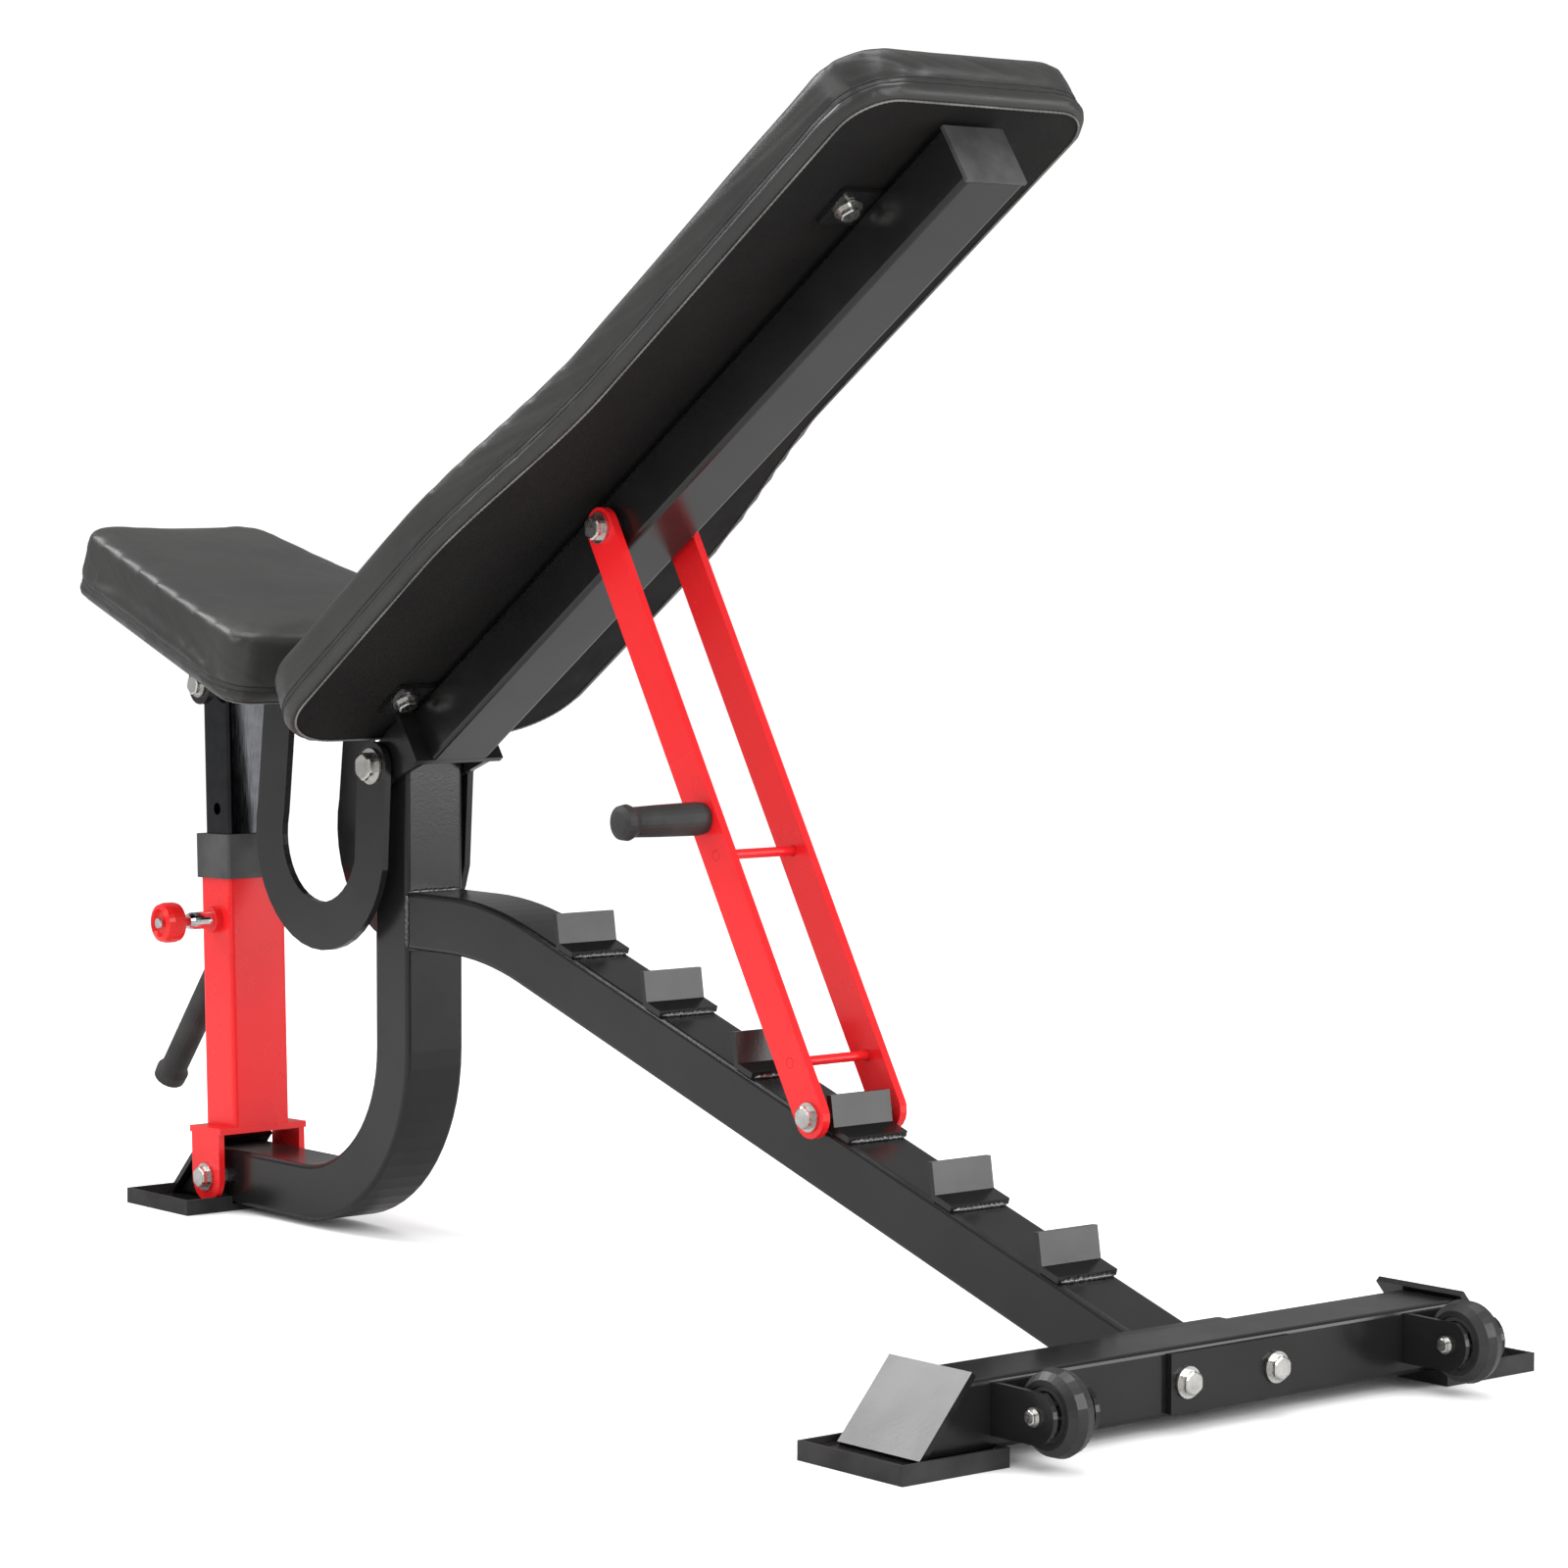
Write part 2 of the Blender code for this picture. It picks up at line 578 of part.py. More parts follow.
def build_wheels(bench):
    for side, word in ((-1, "left"), (1, "right")):
        y = side * WHEEL_Y
        low, high = WHEEL_Z - 0.0195, CROSSBAR_TOP_Z - 0.003
        side_view = ([(GAP, low), (WHEEL_X, low)] + arc(WHEEL_X, WHEEL_Z, 0.0195, -80, 60, 10)
                     + [(GAP + 0.012, high), (GAP, high)])
        fork = piece(f"wheel_fork_{word}", prism(side_view, y - FORK_HALF, y + FORK_HALF), bench,
                     STEEL_BLACK)
        gap_half = FORK_HALF - FORK_STEEL
        slot = block((GAP + FORK_STEEL, 0.2), (y - gap_half, y + gap_half), (-0.1, 0.2))
        boolean(fork, cutter(f"wheel_slot_{word}", slot, bench), "DIFFERENCE")
        drill(fork, [(WHEEL_X, WHEEL_Z, 0.0043)])
        axis = pivot(f"wheel_axis_{word}", WHEEL_X, WHEEL_Z, 0.0, bench)
        axis.location.y = y
        hub_half = FORK_HALF - FORK_STEEL - 0.001
        profile, hexes = bolt_profile(FORK_HALF + GAP, 0.004, 0.0055, washer=0.001)
        piece(f"wheel_axle_{word}", turned(profile, flats=hexes), axis, ZINC, smooth=True)
        half, radius = WHEEL_WIDTH / 2, WHEEL_RADIUS
        tread = [(WHEEL_HUB + GAP, -half), (radius - 0.007, -half), (radius - 0.002, -half * 0.6),
                 (radius, 0.0), (radius - 0.002, half * 0.6), (radius - 0.007, half),
                 (WHEEL_HUB + GAP, half)]
        piece(f"wheel_tyre_{word}", ring_of(tread, 36), axis, TYRE, smooth=True)
        hub = [(0.0043, -hub_half), (0.009, -hub_half), (0.009, -0.006), (0.0155, -0.006),
               (0.0165, -half + 0.001), (WHEEL_HUB, -half + 0.001), (WHEEL_HUB, half - 0.001),
               (0.0165, half - 0.001), (0.0155, 0.006), (0.009, 0.006), (0.009, hub_half),
               (0.0043, hub_half)]
        piece(f"wheel_hub_{word}", ring_of(hub, 36), axis, PLASTIC, smooth=True)


# ---------------------------------------------------------------- backrest and strut

def back_half(x):
    low, high = BACK_PAD_HALF
    return low + (high - low) * smooth_step(x, *BACK_PAD_TAPER)


def build_backrest(back):
    z0, z1 = BACK_TUBE_Z
    axis_z = (z0 + z1) / 2
    tube = piece("backrest_tube", straight_tube(BACK_TUBE_X, TUBE_WIDTH / 2, (z0, z1), TUBE_WALL),
                 back, STEEL_BLACK, True)
    drill(tube, [(STRUT_X, axis_z, M12_HOLE)])
    end = BACK_TUBE_X[1] + GAP
    cap = piece("backrest_tube_cap", block((end, end + 0.0035), (-0.030, 0.030), (z0, z1)), back,
                PLASTIC)
    inner = TUBE_WALL + GAP
    plug = block((end - 0.012, end + 0.001), (-0.030 + inner + 0.001, 0.030 - inner - 0.001),
                 (z0 + inner + 0.001, z1 - inner - 0.001))
    weld(cap, [cutter("backrest_tube_plug", plug, back)])
    build_yoke(back)
    for spot, x in zip(("low", "high"), PAD_BRACKET_X):
        under = z1 + GAP
        bracket = piece(f"pad_bracket_{spot}", block((x - 0.020, x + 0.020), (-0.064, 0.064),
                                                     (under, PAD_UNDER_Z - GAP)), back, STEEL_BLACK)
        for side, word in ((-1, "left"), (1, "right")):
            y = side * PAD_BOLT_Y
            hole = upright_cylinder(x, y, under - 0.01, PAD_UNDER_Z + 0.0105, 0.0043)
            bore = cutter(f"pad_hole_{spot}_{word}", hole, back)
            boolean(bracket, bore, "DIFFERENCE")
            piece(f"pad_bolt_{spot}_{word}", pad_bolt(x, y, under - GAP), back, ZINC, True)
    board = piece("backrest_board", slab(pad_outline(BACK_PAD_X, back_half, BACK_PAD_CORNERS,
                                                     BOARD_INSET), PAD_UNDER_Z,
                                         PAD_UNDER_Z + BOARD), back, BACKING)
    for spot in ("low", "high"):
        for word in ("left", "right"):
            boolean(board, bpy.data.objects[f"pad_hole_{spot}_{word}"], "DIFFERENCE")
    piece("backrest_cushion", slab(pad_outline(BACK_PAD_X, back_half, BACK_PAD_CORNERS),
                                   PAD_UNDER_Z + BOARD + GAP, BACK_PAD_TOP), back, VINYL)


def upright_cylinder(x, y, z0, z1, radius, sides=16):
    circle = [(x + radius * math.cos(math.tau * k / sides),
               y + radius * math.sin(math.tau * k / sides)) for k in range(sides)]
    return slab(circle, z0, z1)


def pad_bolt(x, y, under):
    """A hex screw with its washer, driven up into the pad's board."""
    profile = [(0.0076, -0.0075), (0.0088, -0.0065), (0.0088, -0.0016), (0.0115, -0.0016),
               (0.0115, 0.0), (0.0040, 0.0), (0.0040, 0.0125)]
    bm = turned(profile, flats=[0, 1, 2])
    bmesh.ops.rotate(bm, verts=bm.verts, matrix=Matrix.Rotation(math.radians(90), 3, "X"))
    bmesh.ops.translate(bm, vec=(x, y, under), verts=bm.verts)
    return bm


def build_yoke(back):
    """The bracket at the tube's low end: a cross plate with an ear on each side of the upright."""
    z0, z1 = BACK_TUBE_Z
    face = BACK_TUBE_X[0] - GAP
    web = piece("backrest_yoke", block((face - YOKE_STEEL, face), (-0.046, 0.046), (z0, z1)), back,
                STEEL_BLACK)
    outline = arc(0, 0, YOKE_ROUND, 70, 290, 14) + [(face - 0.001, z0), (face - 0.001, z1)]
    ears = []
    for side, word in ((-1, "left"), (1, "right")):
        y0, y1 = sorted((side * YOKE_HALF, side * (YOKE_HALF - YOKE_STEEL)))
        ears.append(cutter(f"yoke_ear_{word}", prism(outline, y0, y1), back))
    weld(web, ears)
    drill(web, [(0.0, 0.0, PIVOT_BOLT + RUN)])


def build_strut(strut, length):
    holes = [(0.0, 0.0, M12_HOLE), (length, 0.0, M12_HOLE)]
    holes += [(x, 0.0, STRUT_ROD_RADIUS + RUN) for x in STRUT_RODS]
    inner, outer = STRUT_BAR_Y
    for side, word in ((-1, "left"), (1, "right")):
        y0, y1 = sorted((side * inner, side * outer))
        bar = piece(f"strut_bar_{word}", prism(stadium(length, STRUT_BAR_HALF), y0, y1), strut, RED)
        drill(bar, holes)
    for x, word in zip(STRUT_RODS, ("upper", "lower")):
        rod = turned([(0, -outer), (STRUT_ROD_RADIUS, -outer), (STRUT_ROD_RADIUS, outer), (0, outer)],
                     16)
        bmesh.ops.translate(rod, vec=(x, 0, 0), verts=rod.verts)
        piece(f"strut_rod_{word}", rod, strut, RED, True)
    profile, hexes = bolt_profile(outer + GAP, M12, 0.0095)
    middle = [(M12, -inner + GAP), (PIN_RADIUS, -inner + GAP), (PIN_RADIUS, inner - GAP),
              (M12, inner - GAP)]
    split = len(profile) // 2
    hexes = [i if i < split else i + len(middle) for i in hexes]
    bm = turned(profile[:split] + middle + profile[split:], flats=hexes)
    bmesh.ops.translate(bm, vec=(length, 0, 0), verts=bm.verts)
    piece("strut_pin", bm, strut, ZINC, True)
    y = -outer - GAP
    grip = [(0, y), (0.0125, y), (0.0135, y - 0.006), (0.0128, y - 0.045),
            (0.0120, y - STRUT_GRIP_LENGTH + 0.014), (0.0145, y - STRUT_GRIP_LENGTH + 0.008),
            (0.0135, y - STRUT_GRIP_LENGTH + 0.002), (0.009, y - STRUT_GRIP_LENGTH),
            (0, y - STRUT_GRIP_LENGTH)]
    bm = turned(grip)
    bmesh.ops.translate(bm, vec=(STRUT_GRIP_X, 0, 0), verts=bm.verts)
    piece("strut_grip", bm, strut, RUBBER, True)


# ---------------------------------------------------------------- seat and post

def seat_half(x):
    front, rear = SEAT_PAD_HALF
    return front + (rear - front) * (x - SEAT_PAD_X[0]) / (SEAT_PAD_X[1] - SEAT_PAD_X[0])


def build_seat(seat):
    frame = piece("seat_frame", straight_tube(SEAT_TUBE_X, SEAT_TUBE_HALF, (0.0, SEAT_TUBE_HEIGHT),
                                              0.002, 0.004), seat, STEEL_BLACK, True)
    x, z = SEAT_BOLT
    reach = LINK_INNER_Y - GAP
    parts = [cutter("seat_cross_bar", block((LINK_TOP[0] - 0.020, LINK_TOP[0] + 0.020),
                                            (-reach, reach), (0.003, 0.022)), seat)]
    ear_in, ear_out = SEAT_EAR_Y
    parts.append(cutter("seat_ear_bridge", block((x - 0.026, x + 0.026), (-ear_out, ear_out),
                                                 (0.003, 0.009)), seat))
    ear = arc(x, z, 0.018, 180, 360, 10) + [(x + 0.026, 0.009), (x - 0.026, 0.009)]
    for side, word in ((-1, "left"), (1, "right")):
        y0, y1 = sorted((side * ear_in, side * ear_out))
        parts.append(cutter(f"seat_ear_{word}", prism(ear, y0, y1), seat))
    weld(frame, parts)
    drill(frame, [(x, z, M12_HOLE)])
    through_bolt("seat_post_bolt", seat, x, z, ear_out + GAP, M12, 0.0095)
    cx, cz, radius = LINK_BEND
    centre_line = [(0.0, 0.0)] + arc(cx, cz, radius, 0, -180, 20) + [LINK_TOP]
    outline = stroke(centre_line, LINK_HALF_WIDTH)
    for side, word in ((-1, "left"), (1, "right")):
        y0, y1 = sorted((side * LINK_INNER_Y, side * (LINK_INNER_Y + LINK_STEEL)))
        link = piece(f"seat_link_{word}", prism(outline, y0, y1), seat, STEEL_BLACK)
        drill(link, [(0.0, 0.0, PIVOT_BOLT + RUN)])
    board = pad_outline(SEAT_PAD_X, seat_half, SEAT_PAD_CORNERS, BOARD_INSET, 6)
    piece("seat_board", slab(board, SEAT_PAD_UNDER, SEAT_PAD_UNDER + BOARD), seat, BACKING)
    cushion = pad_outline(SEAT_PAD_X, seat_half, SEAT_PAD_CORNERS, 0.0, 6)
    piece("seat_cushion", slab(cushion, SEAT_PAD_UNDER + BOARD + GAP, SEAT_PAD_TOP), seat, VINYL)


def build_post(post):
    half_x, half_y = TUBE_DEPTH / 2, TUBE_WIDTH / 2
    tube = piece("outer_post", upright_tube_z(half_x, half_y, POST_TUBE_Z, TUBE_WALL), post, RED,
                 True)
    saddle = block((-0.026, 0.026), (-0.047, 0.047), (POST_TUBE_Z[0] - 0.005, POST_TUBE_Z[0] + 0.001))
    parts = [cutter("post_saddle", saddle, post)]
    ear = arc(0, 0, 0.023, 180, 360, 12) + [(0.023, POST_TUBE_Z[0]), (-0.023, POST_TUBE_Z[0])]
    for side, word in ((-1, "left"), (1, "right")):
        y0, y1 = sorted((side * FORK_INNER_Y, side * (FORK_INNER_Y + 0.006)))
        parts.append(cutter(f"post_ear_{word}", prism(ear, y0, y1), post))
    boss = turned([(0, -half_y - 0.007), (0.0120, -half_y - 0.007), (0.0120, -half_y + 0.001),
                   (0, -half_y + 0.001)])
    bmesh.ops.translate(boss, vec=(0, 0, PIN_HOLE_Z), verts=boss.verts)
    parts.append(cutter("post_boss", boss, post))
    parts.append(cutter("post_handle_rod", handle_shape([(0, -0.0015), (0.006, -0.0015),
                                                         (0.006, HANDLE_LENGTH - 0.006),
                                                         (0, HANDLE_LENGTH - 0.006)]), post))
    weld(tube, parts)
    cavity = block((-half_x + 0.0032, half_x - 0.0032), (-half_y + 0.0032, half_y - 0.0032),
                   (POST_TUBE_Z[0] + 0.005, POST_TUBE_Z[1] + 0.01))
    boolean(tube, cutter("post_cavity", cavity, post), "DIFFERENCE")
    drill(tube, [(0.0, 0.0, M12_HOLE)])
    bore = turned([(0, -0.06), (0.0052, -0.06), (0.0052, -0.02), (0, -0.02)])
    bmesh.ops.translate(bore, vec=(0, 0, PIN_HOLE_Z), verts=bore.verts)
    boolean(tube, cutter("post_pin_bore", bore, post), "DIFFERENCE")
    through_bolt("post_base_bolt", post, 0.0, 0.0, FORK_INNER_Y + 0.006 + GAP, M12, 0.0105,
                 collar=(0.012, half_y + GAP, FORK_INNER_Y - GAP))
    collar = piece("post_collar", upright_tube_z(half_x + 0.0035, half_y + 0.003,
                                                 (POST_TUBE_Z[1] + GAP, POST_COLLAR_TOP),
                                                 0.0075, 0.004), post, PLASTIC, True)
    widen = block((-INNER_HALF[0] - 0.0005, INNER_HALF[0] + 0.0005),
                  (-INNER_HALF[1] - 0.0005, INNER_HALF[1] + 0.0005), (0.2, 0.4))
    boolean(collar, cutter("collar_bore", widen, post), "DIFFERENCE")
    grip = [(0.0063, HANDLE_BARE), (0.0115, HANDLE_BARE), (0.0130, HANDLE_BARE + 0.006),
            (0.0125, HANDLE_LENGTH - 0.018), (0.0155, HANDLE_LENGTH - 0.012),
            (0.0150, HANDLE_LENGTH - 0.002), (0.0120, HANDLE_LENGTH), (0.0004, HANDLE_LENGTH),
            (0.0004, HANDLE_LENGTH - 0.005), (0.0063, HANDLE_LENGTH - 0.005)]
    bm = ring_of(grip)
    turn_to_handle(bm)
    piece("front_grip", bm, post, RUBBER, True)


def turn_to_handle(bm):
    """Lays a shape turned about Y along the carrying handle, which points forwards and down."""
    angle = math.radians(HANDLE_ANGLE)
    along = Vector((-math.cos(angle), 0.0, -math.sin(angle)))
    turn = Vector((0, 1, 0)).rotation_difference(along).to_matrix()
    bmesh.ops.rotate(bm, verts=bm.verts, matrix=turn)
    bmesh.ops.translate(bm, vec=(-TUBE_DEPTH / 2, 0, HANDLE_Z), verts=bm.verts)


def handle_shape(profile):
    bm = turned(profile, 16)
    turn_to_handle(bm)
    return bm


def build_inner_post(post):
    inner = piece("inner_post", upright_tube_z(*INNER_HALF, INNER_POST_Z, 0.0025, 0.004), post,
                  STEEL_GLOSS, True)
    holes = [(0.0, PIN_HOLE_Z + PIN_HOLE_PITCH * k, 0.0056) for k in range(PIN_HOLES)]
    drill(inner, holes + [(0.0, SEAT_BOLT_Z, SEAT_BOLT_SLACK)])


def build_pull_pin(post):
    face = TUBE_WIDTH / 2 + 0.007
    barrel = ring_of([(0.0044, -face - GAP), (0.0080, -face - GAP), (0.0080, -face - 0.020),
                      (0.0068, -face - 0.024), (0.0044, -face - 0.024)])
    bmesh.ops.translate(barrel, vec=(0, 0, PIN_HOLE_Z), verts=barrel.verts)
    piece("pin_barrel", barrel, post, CHROME, True)
    neck = face + 0.033
    knob = [(0, -PIN_NOSE_Y), (0.0040, -PIN_NOSE_Y), (0.0040, -neck), (0.0120, -neck), (0.0175, -neck - 0.003),
            (0.0185, -neck - 0.007), (0.0185, -neck - 0.015), (0.0170, -neck - 0.020),
            (0.0130, -neck - 0.022), (0.0110, -neck - 0.018), (0, -neck - 0.018)]
    bm = turned(knob, 32)
    bmesh.ops.translate(bm, vec=(0, 0, PIN_HOLE_Z), verts=bm.verts)
    piece("pull_knob", bm, post, RED_KNOB, True)


# ---------------------------------------------------------------- the bench

clear_scene()
STEEL_BLACK = material("black_powder_coat", (0.012, 0.012, 0.013), 0.34)
STEEL_GLOSS = material("black_gloss_tube", (0.010, 0.010, 0.011), 0.14)
RED = material("red_powder_coat", (0.66, 0.012, 0.014), 0.32)
RED_KNOB = material("red_knob", (0.60, 0.010, 0.012), 0.30)
ZINC = material("zinc_plate", (0.70, 0.70, 0.68), 0.28, 1.0)
CHROME = material("chrome", (0.80, 0.80, 0.80), 0.10, 1.0)
RUBBER = material("black_rubber", (0.016, 0.016, 0.017), 0.62)
TYRE = material("wheel_polyurethane", (0.012, 0.012, 0.013), 0.38)
PLASTIC = material("grey_black_plastic", (0.035, 0.036, 0.038), 0.50)
BACKING = material("pad_backing", (0.014, 0.013, 0.013), 0.60)
VINYL = material("black_vinyl", (0.030, 0.030, 0.029), 0.45)

BENCH = pivot("bench", -BENCH_MIDDLE_X, 0.0)
build_upright(BENCH)
build_beam(BENCH)
build_hooks(BENCH)
build_crossbar(BENCH)
build_feet(BENCH)
build_wheels(BENCH)

through_bolt("main_pivot_bolt", BENCH, PIVOT_X, PIVOT_Z, LINK_INNER_Y + LINK_STEEL + GAP,
             PIVOT_BOLT, 0.0130)

BACK = pivot("backrest_axis", PIVOT_X, PIVOT_Z, -BACKREST_ANGLE, BENCH)
build_backrest(BACK)

BACK_TURN = math.radians(BACKREST_ANGLE)
AXIS_Z = sum(BACK_TUBE_Z) / 2
TOP_X = PIVOT_X + STRUT_X * math.cos(BACK_TURN) - AXIS_Z * math.sin(BACK_TURN)
TOP_Z = PIVOT_Z + STRUT_X * math.sin(BACK_TURN) + AXIS_Z * math.cos(BACK_TURN)
PIN_X, PIN_Z = seated_pin(HOOKS - 1 - SEATED_HOOK)
STRUT_LENGTH = math.hypot(PIN_X - TOP_X, PIN_Z - TOP_Z)
STRUT = pivot("strut_axis", TOP_X, TOP_Z, math.degrees(math.atan2(TOP_Z - PIN_Z, PIN_X - TOP_X)),
              BENCH)
build_strut(STRUT, STRUT_LENGTH)
through_bolt("strut_top_bolt", STRUT, 0.0, 0.0, STRUT_BAR_Y[1] + GAP, M12, 0.0105,
             collar=(0.010, TUBE_WIDTH / 2 + GAP, STRUT_BAR_Y[0] - GAP))

SEAT = pivot("seat_axis", PIVOT_X, PIVOT_Z, SEAT_ANGLE, BENCH)
build_seat(SEAT)

POST = pivot("post_axis", POST_X, POST_Z, -POST_LEAN, BENCH)
build_post(POST)
build_inner_post(POST)
build_pull_pin(POST)
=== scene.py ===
"""Looks for the adjustable weight bench: sewn cushions, welds, finishes, light and camera."""
import json
import math

import bmesh
import bpy
import numpy as np
from mathutils import Matrix, Vector
from mathutils.bvhtree import BVHTree


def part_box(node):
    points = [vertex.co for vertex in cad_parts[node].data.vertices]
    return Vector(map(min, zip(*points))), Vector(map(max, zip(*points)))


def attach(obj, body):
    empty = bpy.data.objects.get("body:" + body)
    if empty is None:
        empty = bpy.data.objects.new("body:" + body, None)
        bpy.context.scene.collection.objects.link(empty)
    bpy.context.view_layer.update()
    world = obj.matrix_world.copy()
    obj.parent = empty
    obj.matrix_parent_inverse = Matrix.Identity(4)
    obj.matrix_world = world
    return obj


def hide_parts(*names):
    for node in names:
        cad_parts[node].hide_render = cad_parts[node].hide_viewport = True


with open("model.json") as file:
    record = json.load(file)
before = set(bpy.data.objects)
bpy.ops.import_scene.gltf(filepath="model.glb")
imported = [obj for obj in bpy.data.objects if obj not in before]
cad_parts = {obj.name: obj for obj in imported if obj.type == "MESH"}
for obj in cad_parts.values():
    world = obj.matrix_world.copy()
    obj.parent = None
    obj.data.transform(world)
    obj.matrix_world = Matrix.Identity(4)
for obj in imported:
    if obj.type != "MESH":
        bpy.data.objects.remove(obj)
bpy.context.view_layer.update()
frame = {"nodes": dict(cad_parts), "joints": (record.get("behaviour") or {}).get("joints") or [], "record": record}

# Joints of the record that the soft pieces are placed by
JOINTS = {joint["name"]: joint for joint in frame["joints"]}
PIVOT = Vector(JOINTS["backrest_raise"]["pos_m"])

# Slopes of the tilting groups and of the ladder beam, in degrees
BACKREST_ANGLE = 33.9
SEAT_ANGLE = 16.07
BEAM_SLOPE = 18.06

# Ladder beam: where its top face comes down to the crossbar, and the hooks counted up from there
BEAM_END = -0.076
CROSSBAR_TOP = 0.0606
BEAM_TOP = 0.314
BEAM_DEPTH = 0.050
HOOKS = 6
HOOK_FIRST = 0.0882
HOOK_PITCH = 0.124
HOOK_WELD = (0.0165, 0.027, 0.0012)     # ahead of the hook's foot, half length, height on the beam

# Camera, placed from the crossbar's rear face, which stands at REAR_FACE along X
REAR_FACE = 0.6738
CAMERA_PLACE = (2.2183 + REAR_FACE, -2.2526, 0.6525)
CAMERA_AZIMUTH = 50.292
CAMERA_PITCH = 3.596
CAMERA_ROLL = 0.122
CAMERA_LENS = 102.6

# Cushions, in the frame of the group they ride with
BACK_PAD = {"x": (-0.003, 0.912), "corners": (0.072, 0.046), "under": 0.0240, "top": 0.0735}
SEAT_PAD = {"x": (-0.446, -0.094), "corners": (0.030, 0.032), "under": 0.0256, "top": 0.0885}
BACK_HALF = (0.154, 0.125)      # low end, head end
BACK_TAPER = (0.280, 0.530)     # where the taper starts and ends
SEAT_HALF = (0.100, 0.143)      # front, rear
SEAM_HEIGHTS = (0.0125, 0.0170)     # above the pad's underside
PIPING_RADIUS = 0.0009
PIPING_INSET = 0.0085
SEAM_DEPTH = 0.0016
SEAM_WIDTH = 0.0017
THREAD_RADIUS = 0.0007
CREASE_DEPTH = 0.0010
SIDE_CROWN = 0.0016
TOP_WAVE = 0.0007
PAD_CROWN = 0.0030
CROWN_RUN = 0.035       # from the pad's edge to where its top is nearly at full height
CORD_SIDES = 8
VOXEL = 0.005
CLOTH_FRAMES = 20
CLOTH_PRESSURE = 4.0
MOST_SWELL = 0.0030     # how far the cloth may move from the foam

# Studio: the walls are white to look at, and dim in what the bench reflects
WORLD_STRENGTH = 1.06
WORLD_IN_REFLECTIONS = 0.30
FLOOR_WHITE = 0.95
FLOOR_IN_REFLECTIONS = 0.40


# ---------------------------------------------------------------- materials

class Shader:
    """A small builder of node materials."""

    def __init__(self, name):
        self.material = bpy.data.materials.new(name)
        self.material.use_nodes = True
        self.tree = self.material.node_tree
        self.bsdf = self.tree.nodes["Principled BSDF"]
        self.coords = self.node("ShaderNodeTexCoord").outputs["Object"]

    def node(self, kind, **settings):
        made = self.tree.nodes.new(kind)
        for key, value in settings.items():
            setattr(made, key, value)
        return made

    def link(self, a, b):
        self.tree.links.new(a, b)

    def put(self, **values):
        for key, value in values.items():
            self.bsdf.inputs[key.replace("_", " ")].default_value = value

    def stretched(self, scale):
        mapping = self.node("ShaderNodeMapping")
        mapping.inputs["Scale"].default_value = scale
        self.link(self.coords, mapping.inputs["Vector"])
        return mapping.outputs["Vector"]

    def noise(self, scale, detail=3.0, rough=0.55, stretch=None, distortion=0.0):
        made = self.node("ShaderNodeTexNoise")
        made.inputs["Scale"].default_value = scale
        made.inputs["Detail"].default_value = detail
        made.inputs["Roughness"].default_value = rough
        made.inputs["Distortion"].default_value = distortion
        self.link(self.stretched(stretch) if stretch else self.coords, made.inputs["Vector"])
        return made.outputs["Fac"]

    def cells(self, scale, feature="F1"):
        made = self.node("ShaderNodeTexVoronoi", feature=feature)
        made.inputs["Scale"].default_value = scale
        self.link(self.coords, made.inputs["Vector"])
        return made.outputs["Distance"]

    def ramp(self, value, low, high, out_low, out_high):
        made = self.node("ShaderNodeMapRange")
        for key, number in (("From Min", low), ("From Max", high), ("To Min", out_low),
                            ("To Max", out_high)):
            made.inputs[key].default_value = number
        self.link(value, made.inputs["Value"])
        return made.outputs["Result"]

    def colours(self, value, first, second, low=0.35, high=0.65):
        made = self.node("ShaderNodeValToRGB")
        made.color_ramp.elements[0].position = low
        made.color_ramp.elements[0].color = (*first, 1.0)
        made.color_ramp.elements[1].position = high
        made.color_ramp.elements[1].color = (*second, 1.0)
        self.link(value, made.inputs["Fac"])
        self.link(made.outputs["Color"], self.bsdf.inputs["Base Color"])

    def roughness(self, value, low, high, spread=(0.3, 0.7)):
        self.link(self.ramp(value, *spread, low, high), self.bsdf.inputs["Roughness"])

    def bump(self, value, strength, distance, under=None):
        made = self.node("ShaderNodeBump")
        made.inputs["Strength"].default_value = strength
        made.inputs["Distance"].default_value = distance
        self.link(value, made.inputs["Height"])
        if under:
            self.link(under, made.inputs["Normal"])
        self.link(made.outputs["Normal"], self.bsdf.inputs["Normal"])
        return made.outputs["Normal"]


def powder_coat(name, light, dark, low, high, peel=0.10, coat=0.0, specular=0.5):
    """Sprayed and baked paint: a slight orange peel and a finish that varies a little."""
    s = Shader(name)
    s.colours(s.noise(9.0, 4.0), dark, light)
    s.roughness(s.noise(14.0, 5.0), low, high)
    first = s.bump(s.noise(420.0, 2.0), peel, 0.0006)
    s.bump(s.noise(60.0, 3.0), 0.05, 0.0010, first)
    s.put(Coat_Weight=coat, Coat_Roughness=0.12, Specular_IOR_Level=specular)
    return s.material


def metal(name, colour, low, high, brushed=(1.0, 1.0, 1.0), scale=240.0, strength=0.08):
    """Bare, plated or polished metal, with fine scratches that may run one way."""
    s = Shader(name)
    dark = tuple(0.72 * value for value in colour)
    s.colours(s.noise(70.0, 5.0), dark, colour, 0.3, 0.6)
    s.roughness(s.noise(scale, 3.0, stretch=brushed), low, high)
    s.bump(s.noise(scale, 3.0, stretch=brushed), strength, 0.0003)
    s.put(Metallic=1.0)
    return s.material


